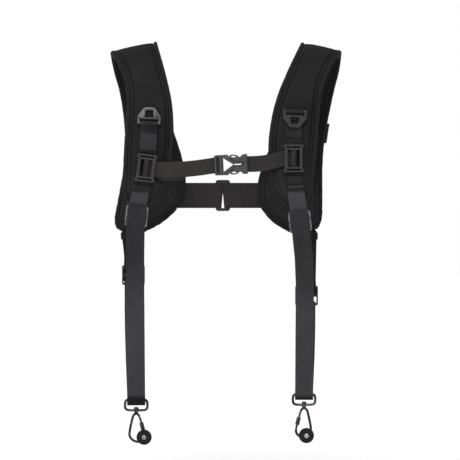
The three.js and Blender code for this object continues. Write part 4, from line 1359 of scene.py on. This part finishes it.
    def _sleeve(self) -> bpy.types.Object:
        """The knurled screw sleeve round the gate."""
        hinge, run, length = self._gate_line()
        half, edge = self.sleeve_l / 2, 0.5 * MM
        bore = self.wire_r + self.bore_gap
        profile = [(bore, -half), (self.sleeve_r - edge, -half), (self.sleeve_r, edge - half)]
        grooves = 9
        for i in range(grooves):
            z = -half + 2 * edge + (self.sleeve_l - 4 * edge) * i / (grooves - 1)
            profile += [(self.sleeve_r, z - 0.22 * MM), (self.sleeve_r - 0.14 * MM, z),
                        (self.sleeve_r, z + 0.22 * MM)]
        profile += [(self.sleeve_r, half - edge), (self.sleeve_r - edge, half), (bore, half), (bore, -half)]
        sleeve = lathed(self.side.node("screw_sleeve"), profile, Vector(), sides=40)
        sleeve.rotation_mode = "QUATERNION"
        sleeve.rotation_quaternion = Vector((0, 0, 1)).rotation_difference(-run)
        sleeve.location = hinge + run * (length / 2)
        return settle(sleeve)

    def _screw(self, centre: Vector) -> bpy.types.Object:
        """The eye round the bow, the plate and the threaded screw.

        Args:
            centre: the middle of the eye.

        Returns:
            The finished screw.
        """
        reach, shank = self.eye_reach, self.washer_t + self.gap + self.screw_l
        eye = [centre + Vector((0, self.eye_r * math.cos(a), self.eye_r * math.sin(a)))
               for a in (math.radians(36 * i) for i in range(10))]
        ring = bent_wire("eye", eye, self.eye_wire_r, closed=True)
        edge = 0.35 * MM
        profile = [(0, reach), (self.plate_r - edge, reach), (self.plate_r, reach + edge),
                   (self.plate_r, reach + self.plate_t - edge), (self.plate_r - edge, reach + self.plate_t)]
        start = reach + self.plate_t
        turns = int(shank / self.pitch)
        core = self.screw_r - 0.45 * MM
        for i in range(turns):
            z = start + self.pitch * (i + 0.1)
            profile += [(core, z), (self.screw_r, z + self.pitch * 0.42),
                        (self.screw_r, z + self.pitch * 0.55)]
        end = start + shank
        profile += [(core, end - 0.3 * MM), (core - 0.4 * MM, end),
                    (1.55 * MM, end), (1.3 * MM, end - 0.4 * MM),
                    (1.2 * MM, end - 2.2 * MM), (0, end - 2.5 * MM)]
        turned = lathed("screw", profile, centre, "-Y")
        return joined(self.side.node("threaded_screw"), [ring, turned])

    def _washer(self, centre: Vector) -> bpy.types.Object:
        """The rubber washer with its raised rim and rings.

        Args:
            centre: the middle of the eye behind it.

        Returns:
            The finished washer.
        """
        back = self.eye_reach + self.plate_t + self.gap
        front = back + self.washer_t
        bore, rim = self.screw_r + self.gap * 0.6, self.washer_r
        profile = [
            (bore, back), (rim - 0.5 * MM, back), (rim, back + 0.5 * MM), (rim, front - 0.5 * MM),
            (rim - 0.45 * MM, front), (rim - 1.3 * MM, front), (rim - 1.6 * MM, front - 0.45 * MM),
            (rim - 2.0 * MM, front - 0.5 * MM), (rim - 2.4 * MM, front - 0.15 * MM),
            (bore + 1.5 * MM, front - 0.1 * MM), (bore + 1.2 * MM, front - 0.4 * MM),
            (bore + 0.5 * MM, front - 0.5 * MM), (bore, front - 0.7 * MM),
            (bore, back),
        ]
        return lathed(self.side.node("rubber_disc"), profile, centre, "-Y", sides=64)


# The chest buckle


@dataclass
class ChestBuckle:
    """The fastened side-release buckle: the latch on the viewer's left, the socket on the right."""

    rise: float = math.radians(2.8)
    frame_t: float = 3.4 * MM
    edge_t: float = 6.4 * MM
    floor_t: float = 3.0 * MM
    arm_t: float = 8.7 * MM
    prong_t: float = 5.4 * MM
    shell_t: float = 7.6 * MM
    collar_t: float = 8.6 * MM

    def build(self, frame: dict, wardrobe: Wardrobe) -> None:
        """Builds and dresses both halves.

        Args:
            wardrobe: the materials.
        """
        boxes = [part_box(node) for node in ("buckle_latch", "buckle_socket")]
        low = Vector(min(corners) for corners in zip(*(box[0] for box in boxes)))
        high = Vector(max(corners) for corners in zip(*(box[1] for box in boxes)))
        place = Matrix.Translation((low + high) / 2) @ Matrix.Rotation(-self.rise, 4, "Y")
        latch = joined("buckle_latch_half", [
            moulded("latch_frame", self._latch_frame(), self.frame_t, place, 0.7 * MM),
            moulded("latch_edge", [rounded_box(-22.2, -12.2, -19.3, 12.2, 1.2)], self.edge_t, place,
                    1.2 * MM),
            moulded("latch_bar", [rounded_box(-15.6, -11.4, -12.3, 11.4, 0.8)], self.arm_t, place, 1.1 * MM),
            moulded("latch_arms", self._latch_arms(), self.arm_t, place, 0.4 * MM),
            moulded("upper_prong", self._prong(1), self.prong_t, place, 0.35 * MM),
            moulded("lower_prong", self._prong(-1), self.prong_t, place, 0.35 * MM),
        ])
        wardrobe.dress(latch, "grey_plastic", "root", "buckle_latch")
        socket = joined("buckle_socket_half", [
            moulded("socket_shell", self._socket_shell(), self.shell_t, place, 0.6 * MM),
            moulded("socket_floor", self._socket_floor(), self.floor_t, place, 0.2 * MM),
            moulded("socket_collar", [rounded_box(15.6, -12.4, 18.4, 12.4, 1)], self.collar_t, place,
                    0.6 * MM),
        ])
        wardrobe.dress(socket, "grey_plastic", "root", "buckle_socket")

    @staticmethod
    def _latch_frame() -> list[list[Point]]:
        """The webbing bars of the latch."""
        outline = mirrored([
            (-22, 10.6), (-21.7, 11.7), (-20.8, 12.4), (-19, 12.6), (-5.4, 12.6), (-4.6, 12.0), (-5.2, 11.2),
            (-12.9, 10.4),
        ])
        return [outline, rounded_box(-18.9, -9.2, -16.2, 9.8, 0.3)]

    @staticmethod
    def _latch_arms() -> list[list[Point]]:
        """The latch's two arms, which meet at the socket."""
        outline = mirrored([
            (-12.3, 11.0), (-11.4, 12.6), (-7, 12.9), (-5.2, 12.3), (-4.0, 10.6), (-0.2, 5.2), (3.0, 2.3),
            (12.0, 1.9), (12.8, 1.0),
        ])
        window = [(-10.9, -8.4), (0.9, -0.35), (0.9, 0.35), (-10.9, 8.4)]
        return [outline, window, rounded_box(2.2, -0.75, 11.5, 0.75, 0.7)]

    @staticmethod
    def _prong(way: int) -> list[list[Point]]:
        """One squeezed prong with its oval eye.

        Args:
            way: 1 for the upper, -1 for the lower.

        Returns:
            Its outline and its hole.
        """
        outline = [
            (-3.7, 10.2), (-3.0, 11.5), (-1.2, 12.3), (1.8, 12.5), (4.8, 12.0),
            (7.2, 10.9), (8.8, 9.4), (7.4, 6.2), (1.5, 4.5), (-2.2, 7.6),
        ]
        return [[(x, way * y) for x, y in outline], oval(1.9, way * 9.9, 3.0, 0.95)]

    @staticmethod
    def _socket_shell() -> list[list[Point]]:
        """The socket's shell, waisted where the prongs are squeezed, with its slot."""
        outline = mirrored([
            (13.8, 1.4), (12.6, 2.9), (3.5, 3.3), (0.6, 6.0), (-0.8, 7.9), (-0.3, 8.3), (5.6, 8.3),
            (8.2, 9.0), (10.2, 9.4), (11.3, 10.2), (12.3, 11.3), (13.5, 12.1), (15, 12.4),
            (18.7, 12.4), (19, 12.1),
        ])
        return [outline]

    @staticmethod
    def _socket_floor() -> list[list[Point]]:
        """The floor of the grooves round the latch's arms."""
        outline = mirrored([(1.6, 1.2), (-2.4, 7.4), (5.6, 8.0), (11, 9.0), (15, 9.0)])
        return [outline, rounded_box(2.0, -0.95, 11.7, 0.95, 0.9)]


@dataclass
class BackSlider:
    """The two-bar slider that joins the back straps."""

    thickness: float = 2.4 * MM

    def build(self, wardrobe: Wardrobe) -> None:
        """Builds and dresses the slider.

        Args:
            wardrobe: the materials.
        """
        low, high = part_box("back_slider")
        place = Matrix.Translation((low + high) / 2)
        top = (high.z - low.z) / 2 / MM
        slot = top - 3.9
        lip = [(8.2, top - 5.6), (9.3, top - 3.6), (9.1, top - 2.3), (8.1, top - 0.8), (6.8, top)]
        outline = mirrored([*lip, *((-x, y) for x, y in reversed(lip))])
        slots = [rounded_box(x0, -slot, x1, slot, 0.3) for x0, x1 in ((-7.2, -4.6), (-2.9, 2.9), (4.6, 7.2))]
        slider = moulded("back_strap_slider", [outline, *slots], self.thickness, place, 0.8 * MM)
        wardrobe.dress(slider, "black_plastic", "root", "back_slider")


@dataclass
class ChestSlider:
    """The slider that carries the chest strap on the ladder webbing."""

    side: Side
    thickness: float = 3 * MM
    keeper_t: float = 1.2 * MM
    loop_w: float = 20.2 * MM
    loop_t: float = 1.2 * MM
    loop_r: float = 2.5 * MM
    loop_depth: float = 1.9 * MM
    loop_shift: float = 0.6 * MM

    def build(self, straps: dict[str, Strap], wardrobe: Wardrobe) -> None:
        """Builds and dresses the slider.

        Args:
            straps: the straps by their nodes.
            wardrobe: the materials.
        """
        node = self.side.node("chest_slider")
        low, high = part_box(node)
        middle = (low + high) / 2
        here = straps[self.side.node("ladder_webbing")].front_at(middle.z)
        tilt = math.atan2(-here.across.z, here.across.x)
        turn = Matrix.Rotation(tilt, 4, "Y")
        front = Vector((middle.x, low.y + self.thickness / 2, middle.z))
        parts = [moulded("slider_frame", self._outline(), self.thickness,
                         Matrix.Translation(front) @ turn, 1.0 * MM)]
        back = Vector((middle.x, high.y - self.keeper_t / 2, middle.z))
        for end in (-1, 1):
            keeper = rounded_box(-12.5, end * 15.8 - 1.4, 12.5, end * 15.8 + 1.4, 0.6)
            place = Matrix.Translation(back) @ turn
            parts.append(moulded("keeper", [keeper], self.keeper_t, place, 0.3 * MM))
            for edge in (-1, 1):
                x, y = edge * 11.9, end * 15.8
                wall = rounded_box(x - 0.5, y - 1.4, x + 0.5, y + 1.4, 0.4)
                place = Matrix.Translation((front + back) / 2) @ turn
                parts.append(moulded("wall", [wall], (back - front).length, place, 0.2 * MM))
        slider = joined(self.side.node("strap_slider"), parts)
        wardrobe.dress(slider, "black_plastic", "root", node)
        wardrobe.dress(self._loop(front, turn), "body_webbing", "root")

    def _loop(self, front: Vector, turn: Matrix) -> bpy.types.Object:
        """The chest strap's loop round the slider's middle post.

        Args:
            front: the middle of the slider's front frame.
            turn: the slider's turn.

        Returns:
            The loop.
        """
        up = (turn @ Vector((0, 0, 1))).normalized()
        side = (turn @ Vector((1, 0, 0))).normalized()
        middle = front + side * self.loop_shift
        sections = []
        for step in range(13):
            a = math.radians(-105 + 17.5 * step)
            out = side * math.sin(a) + Vector((0, -1, 0)) * math.cos(a)
            reach = side * (self.loop_r * math.sin(a)) + Vector((0, -self.loop_depth * math.cos(a), 0))
            sections.append(Section(middle + reach, up, out))
        name = self.side.node("post_loop")
        loop = Strap(name, "body_webbing", wave=0, curl=0, step=2 * MM, sections=sections, width=self.loop_w,
                     thickness=self.loop_t)
        return loop.build(name)

    @staticmethod
    def _outline() -> list[list[Point]]:
        """The front frame's outline and its openings, in millimetres."""
        quarter = [(12.4, 16.6), (12.4, 14.4), (12.1, 13.6), (11.1, 12.4)]
        lips = [(-11.8, 17.2), (11.8, 17.2)]
        outline = mirrored([*((-x, y) for x, y in reversed(quarter)), *lips, *quarter])
        windows = [rounded_box(-7.4, -10.6, -1.5, 10.6, 0.6), rounded_box(1.5, -10.6, 7.4, 10.6, 0.6)]
        slots = [rounded_box(-8.9, y0, 8.9, y0 + 2.2, 0.5) for y0 in (12.9, -15.1)]
        return [outline, *windows, *slots]


# Sewn details


@dataclass(frozen=True)
class Layer:
    """A folded layer of webbing over a strap's front: heights, width, lift and thickness in millimetres."""

    name: str
    strap: Strap
    top: float
    low: float
    width: float
    lift: float
    thickness: float


@dataclass
class SewnDetails:
    """Folded ends, bar tacks and stitch lines on the webbing."""

    thread_r: float = 0.25 * MM
    stitch: float = 2.2 * MM
    pause: float = 0.7 * MM
    inset: float = 1.3 * MM

    def stitch_row(self, start: Vector, end: Vector) -> list[bpy.types.Object]:
        """A row of thread stitches.

        Args:
            start: where the row starts.
            end: where it ends.

        Returns:
            One short wire for each stitch.
        """
        run = end - start
        count = max(1, round(run.length / (self.stitch + self.pause)))
        step = run / count
        long = self.stitch / (self.stitch + self.pause)
        shares = (0, long / 2, long)
        return [bent_wire("stitch", [start + step * (i + share) for share in shares], self.thread_r)
                for i in range(count)]

    def across(self, strap: Strap, height: float, lift: float = 0.0) -> list[bpy.types.Object]:
        """A row of stitches across a strap's front.

        Args:
            strap: the strap.
            height: the row's height.
            lift: how far the row lies in front of the strap's face.

        Returns:
            The stitches.
        """
        here = strap.front_at(height)
        half = strap.width / 2 - self.inset
        out = strap.thickness / 2 + 0.4 * self.thread_r + lift
        return self.stitch_row(here.at(-half, out), here.at(half, out))

    @staticmethod
    def patch(layer: Layer) -> bpy.types.Object:
        """Builds one folded layer.

        Args:
            layer: its place and size.

        Returns:
            The finished layer.
        """
        steps = 4
        rows = [layer.strap.front_at((layer.top + (layer.low - layer.top) * i / steps) * MM)
                for i in range(steps + 1)]
        sections = [Section(row.at(0, layer.lift * MM), row.across, row.out) for row in rows]
        fold = Strap(layer.name, "ladder_webbing", wave=0, curl=0, sections=sections, width=layer.width * MM,
                     thickness=layer.thickness * MM)
        return fold.build(layer.name)

    @staticmethod
    def doubled(name: str, strap: Strap, reach: Point, step: Point, lean: float = 0.0) -> bpy.types.Object:
        """A second layer of webbing along a strap that runs across.

        Args:
            name: the layer's name.
            strap: the strap that it lies on.
            reach: where it starts and ends along X, in millimetres.
            step: how far it lies below and in front of the strap's middle, in millimetres.
            lean: how far its far end leans over half its width, in millimetres.

        Returns:
            The finished layer.
        """
        steps = 8
        places = [reach[0] + (reach[1] - reach[0]) * i / steps for i in range(steps + 1)]
        rows = [strap.front_at(x * MM, axis=0) for x in places]
        sections = [Section(row.at(-step[0] * MM, step[1] * MM), row.across, row.out) for row in rows]
        layer = Strap(name, strap.slot, wave=0, curl=0, sections=sections, width=strap.width - 0.3 * MM,
                      thickness=1.3 * MM)
        made = layer.build(name)
        middle = sections[-1].middle
        for corner in made.data.vertices:
            share = max(0.0, 1 - abs(corner.co.x - middle.x) / (12 * MM))
            corner.co.x += lean * MM * share * (middle.z - corner.co.z) / (strap.width / 2)
        made.data.update()
        return made


# The studio


@dataclass
class Studio:
    """A pale floor, soft lights and the camera."""

    eye: Point = (3.2 * MM, -3.235, -0.2296)
    lens: float = 200.3
    sensor: float = 36.0
    floor_z: float = -0.56
    floor_size: float = 30.0
    world: float = 0.63
    world_front: float = 1.5
    world_side: float = 0.3
    sun: float = 2.25
    sun_place: Point = (-0.12, -1.0, 0.95)
    sun_spread: float = math.radians(42)
    strip_place: Point = (-1.5, -2.2, -0.15)
    strip_size: tuple[float, float] = (0.8, 1.3)
    strip_power: float = 14.0

    def build(self) -> None:
        """Sets up the floor, the lights, the world and the camera."""
        self._floor()
        self._sun()
        self._strip()
        world = bpy.data.worlds.new("studio")
        world.use_nodes = True
        nodes, links = world.node_tree.nodes, world.node_tree.links
        room = nodes["Background"]
        room.inputs["Color"].default_value = (1, 1, 1, 1)
        links.new(self._room_light(nodes, links), room.inputs["Strength"])
        paper = nodes.new("ShaderNodeBackground")
        paper.inputs["Color"].default_value = (1, 1, 1, 1)
        rays = nodes.new("ShaderNodeLightPath")
        mixed = nodes.new("ShaderNodeMixShader")
        links.new(rays.outputs["Is Camera Ray"], mixed.inputs[0])
        links.new(room.outputs[0], mixed.inputs[1])
        links.new(paper.outputs[0], mixed.inputs[2])
        links.new(mixed.outputs[0], nodes["World Output"].inputs["Surface"])
        scene = bpy.context.scene
        scene.world = world
        scene.view_settings.view_transform = "Standard"
        data = bpy.data.cameras.new("camera")
        data.lens = self.lens
        data.sensor_width = self.sensor
        data.clip_end = 100
        camera = bpy.data.objects.new("camera", data)
        camera.location = self.eye
        camera.rotation_euler = (math.pi / 2, 0, 0)
        scene.collection.objects.link(camera)
        scene.camera = camera

    def _room_light(self, nodes: bpy.types.Nodes, links: bpy.types.NodeLinks) -> bpy.types.NodeSocket:
        """Light that is stronger in front and behind than at the sides, which darkens the wires' edges.

        Args:
            nodes: the world's nodes.
            links: the world's links.

        Returns:
            The strength over the directions.
        """
        place = nodes.new("ShaderNodeTexCoord")
        parts = nodes.new("ShaderNodeSeparateXYZ")
        aside, level = nodes.new("ShaderNodeMath"), nodes.new("ShaderNodeMath")
        aside.operation = "ABSOLUTE"
        level.operation = "MULTIPLY_ADD"
        level.inputs[1].default_value = (self.world_side - self.world_front) * self.world
        level.inputs[2].default_value = self.world_front * self.world
        links.new(place.outputs["Generated"], parts.inputs[0])
        links.new(parts.outputs[0], aside.inputs[0])
        links.new(aside.outputs[0], level.inputs[0])
        return level.outputs[0]

    def _floor(self) -> None:
        """The pale floor below the clips."""
        deselect()
        bpy.ops.mesh.primitive_plane_add(size=self.floor_size, location=(0, 0, self.floor_z))
        floor = settle(bpy.context.active_object)
        floor.name = "floor"
        s = Shader("floor")
        tone = s.noise(1.5, 2.0)
        s.tint((0.955, 0.955, 0.955), (0.975, 0.975, 0.975), tone)
        s.fixed(Roughness=0.9)
        floor.data.materials.append(s.material)

    def _sun(self) -> None:
        """The broad main light, from above and in front."""
        data = bpy.data.lights.new("main", "SUN")
        data.energy = self.sun
        data.angle = self.sun_spread
        light = bpy.data.objects.new("main", data)
        light.rotation_mode = "QUATERNION"
        light.rotation_quaternion = (-Vector(self.sun_place)).to_track_quat("-Z", "Y")
        bpy.context.scene.collection.objects.link(light)

    def _strip(self) -> None:
        """The tall soft light at the viewer's left, which draws the edges of wires and fittings."""
        data = bpy.data.lights.new("strip", "AREA")
        data.shape = "RECTANGLE"
        data.size, data.size_y = self.strip_size
        data.energy = self.strip_power
        light = bpy.data.objects.new("strip", data)
        light.location = self.strip_place
        aim = Vector((0, 0, -0.24)) - Vector(self.strip_place)
        light.rotation_mode = "QUATERNION"
        light.rotation_quaternion = aim.to_track_quat("-Z", "Y")
        bpy.context.scene.collection.objects.link(light)


# The whole harness


@dataclass
class Harness:
    """All of the pieces in order."""

    frame: dict
    wardrobe: Wardrobe = field(default_factory=Wardrobe)
    straps: dict[str, Strap] = field(default_factory=dict)
    tag_tuck: float = 1.8 * MM
    join_gap: float = 1.5 * MM
    join_from: float = 0.42
    join_lap: float = 0.5 * MM
    tab_from: float = -228 * MM
    weave_behind: float = 1.6 * MM
    weave_edge: float = 1.2 * MM
    weave_w: float = 26.4 * MM

    def build(self) -> None:
        """Builds every piece."""
        for side in Side:
            self._straps(side)
        for side in Side:
            ShoulderPad(side).build(self.frame, self.wardrobe)
            self._fittings(side)
            SwivelClip(side).build(self.frame, self.wardrobe)
        BackSlider().build(self.wardrobe)
        ChestBuckle().build(self.frame, self.wardrobe)
        Fitting("label_patch", "patch", rounding=0.25 * MM).build(self.frame, self.wardrobe)
        tag = Fitting("side_tag", "patch", rounding=0.2 * MM).build(self.frame, self.wardrobe)
        self._tuck(tag, Vector((-self.tag_tuck, 0, 0)))
        self._sewn()

    def _straps(self, side: Side) -> None:
        """Builds one side's straps."""
        slots = {
            "ladder_webbing": "ladder_webbing", "chest_webbing": "body_webbing",
            "camera_strap": "camera_webbing", "rear_tab": "camera_webbing", "back_strap": "body_webbing",
        }
        for piece, slot in slots.items():
            strap = Strap(side.node(piece), slot).read(self.frame)
            self.straps[strap.node] = strap
            if piece == "rear_tab":
                strap.trim(self.tab_from)
            woven = strap.build(strap.node + "_woven")
            if piece == "back_strap":
                self._splay(side, woven)
            # The rear tab is dressed in painted shade: a darker copy of its own webbing.
            finish = "shaded_tab_webbing" if piece == "rear_tab" else ""
            self.wardrobe.dress(woven, slot, "root", strap.node, finish=finish)

    @staticmethod
    def _tuck(piece: bpy.types.Object, step: Vector) -> None:
        """Moves a piece's mesh by a small step."""
        piece.data.transform(Matrix.Translation(step))
        piece.data.update()

    def _splay(self, side: Side, strap: bpy.types.Object) -> None:
        """Splays a back strap's end, so that the two meet at the top of the slider and part below.

        Args:
            side: the strap's side.
            strap: the strap's mesh.
        """
        low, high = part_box("back_slider")
        middle = (low + high) / 2
        half = self.straps[side.node("back_strap")].width / 2
        fade = (high.x - low.x) * 0.9
        end = min(abs(corner.co.x - middle.x) for corner in strap.data.vertices)
        for corner in strap.data.vertices:
            near = max(0.0, 1 - (abs(corner.co.x - middle.x) - end) / fade)
            open_by = self.join_gap * (self.join_from - (corner.co.z - middle.z) / half)
            gap = max(-self.join_lap, open_by - self.join_lap)
            corner.co.x += side.sign * near * (gap - end)
        strap.data.update()

    def _fittings(self, side: Side) -> None:
        """Builds one side's plastic and steel fittings."""
        plates = [
            ("d_ring", "black_plastic", side.node("d_ring"), 1.2 * MM),
            ("front_triglide", "triglide_steel", "root", 0.5 * MM),
            ("rear_slider", "black_plastic", "root", 0.5 * MM),
        ]
        for piece, slot, body, rounding in plates:
            Fitting(side.node(piece), slot, body, rounding).build(self.frame, self.wardrobe)
        ChestSlider(side).build(self.straps, self.wardrobe)

    def _sewn(self) -> None:
        """Builds the folded layers and the stitch lines."""
        sewn = SewnDetails()
        left, right = self.straps["left_ladder_webbing"], self.straps["right_ladder_webbing"]
        chest = self.straps["left_chest_webbing"]
        layers = [
            Layer("left_fold", left, -172.6, -181.2, 23.2, 1.9, 2.0),
            Layer("left_label_fold", left, -105.4, -109.2, 21.8, 1.0, 1.5),
            Layer("right_fold", right, -161.5, -172.8, 21.6, 1.8, 1.6),
            Layer("right_tack", right, -173.2, -178.2, 22.0, 1.6, 1.2),
            Layer("right_loop_end", right, -97.5, -116.6, 21.4, 1.7, 1.5),
        ]
        for layer in layers:
            self.wardrobe.dress(sewn.patch(layer), "ladder_webbing", "root")
        rows = []
        seams = ((left, -171.9), (left, -181.9), (left, -108.9), (left, -132.2), (right, -117.6))
        for strap, height in seams:
            rows += sewn.across(strap, height * MM)
        for height in (-174.4, -175.7, -177.0):
            rows += sewn.across(right, height * MM, lift=1.5 * MM)
        stitches = joined("ladder_stitches", rows)
        self.wardrobe.dress(stitches, "ladder_webbing", "root", finish="thread")
        back = self.straps["right_back_strap"]
        doubled = [
            sewn.doubled("chest_under_layer", chest, (-86, -52), (3.6, -2.2)),
            sewn.doubled("back_over_layer", back, (3.5, 18.5), (0, 1.7), lean=2.5),
        ]
        for layer in doubled:
            self.wardrobe.dress(layer, "body_webbing", "root")
        for side in Side:
            tab = self.straps[side.node("rear_tab")]
            fold = sewn.patch(Layer(side.node("tab_fold"), tab, -231.5, -243.5, 27, 0.9, 3.4))
            # The tab's fold and the webbing behind the rear slider get the darker copy of the camera webbing,
            # as painted shade.
            for piece in (fold, self._woven_in(side)):
                self.wardrobe.dress(piece, "camera_webbing", "root", finish="shaded_tab_webbing")

    def _woven_in(self, side: Side) -> bpy.types.Object:
        """The rear webbing that passes behind the rear slider's middle bar."""
        low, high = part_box(side.node("rear_slider"))
        reach = {Side.LEFT: 0.1, Side.RIGHT: 0.5}[side]
        middle = (low + high) / 2 + Vector((0, self.weave_behind, 0))
        ends = (high.z - self.weave_edge, low.z + (high.z - low.z) * reach)
        heights = [ends[0] + (ends[1] - ends[0]) * i / 4 for i in range(5)]
        sections = [Section(Vector((middle.x, middle.y, z)), Vector((1, 0, 0)), Vector((0, -1, 0)))
                    for z in heights]
        name = side.node("woven_in")
        return Strap(name, "camera_webbing", wave=0, curl=0, sections=sections, width=self.weave_w,
                     thickness=1.4 * MM).build(name)


def main() -> None:
    """Loads the frame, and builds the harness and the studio."""
    logging.basicConfig(level=logging.INFO, format="%(message)s", stream=sys.stdout)
    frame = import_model()
    Studio().build()
    Harness(frame).build()


if __name__ == "__main__":
    main()
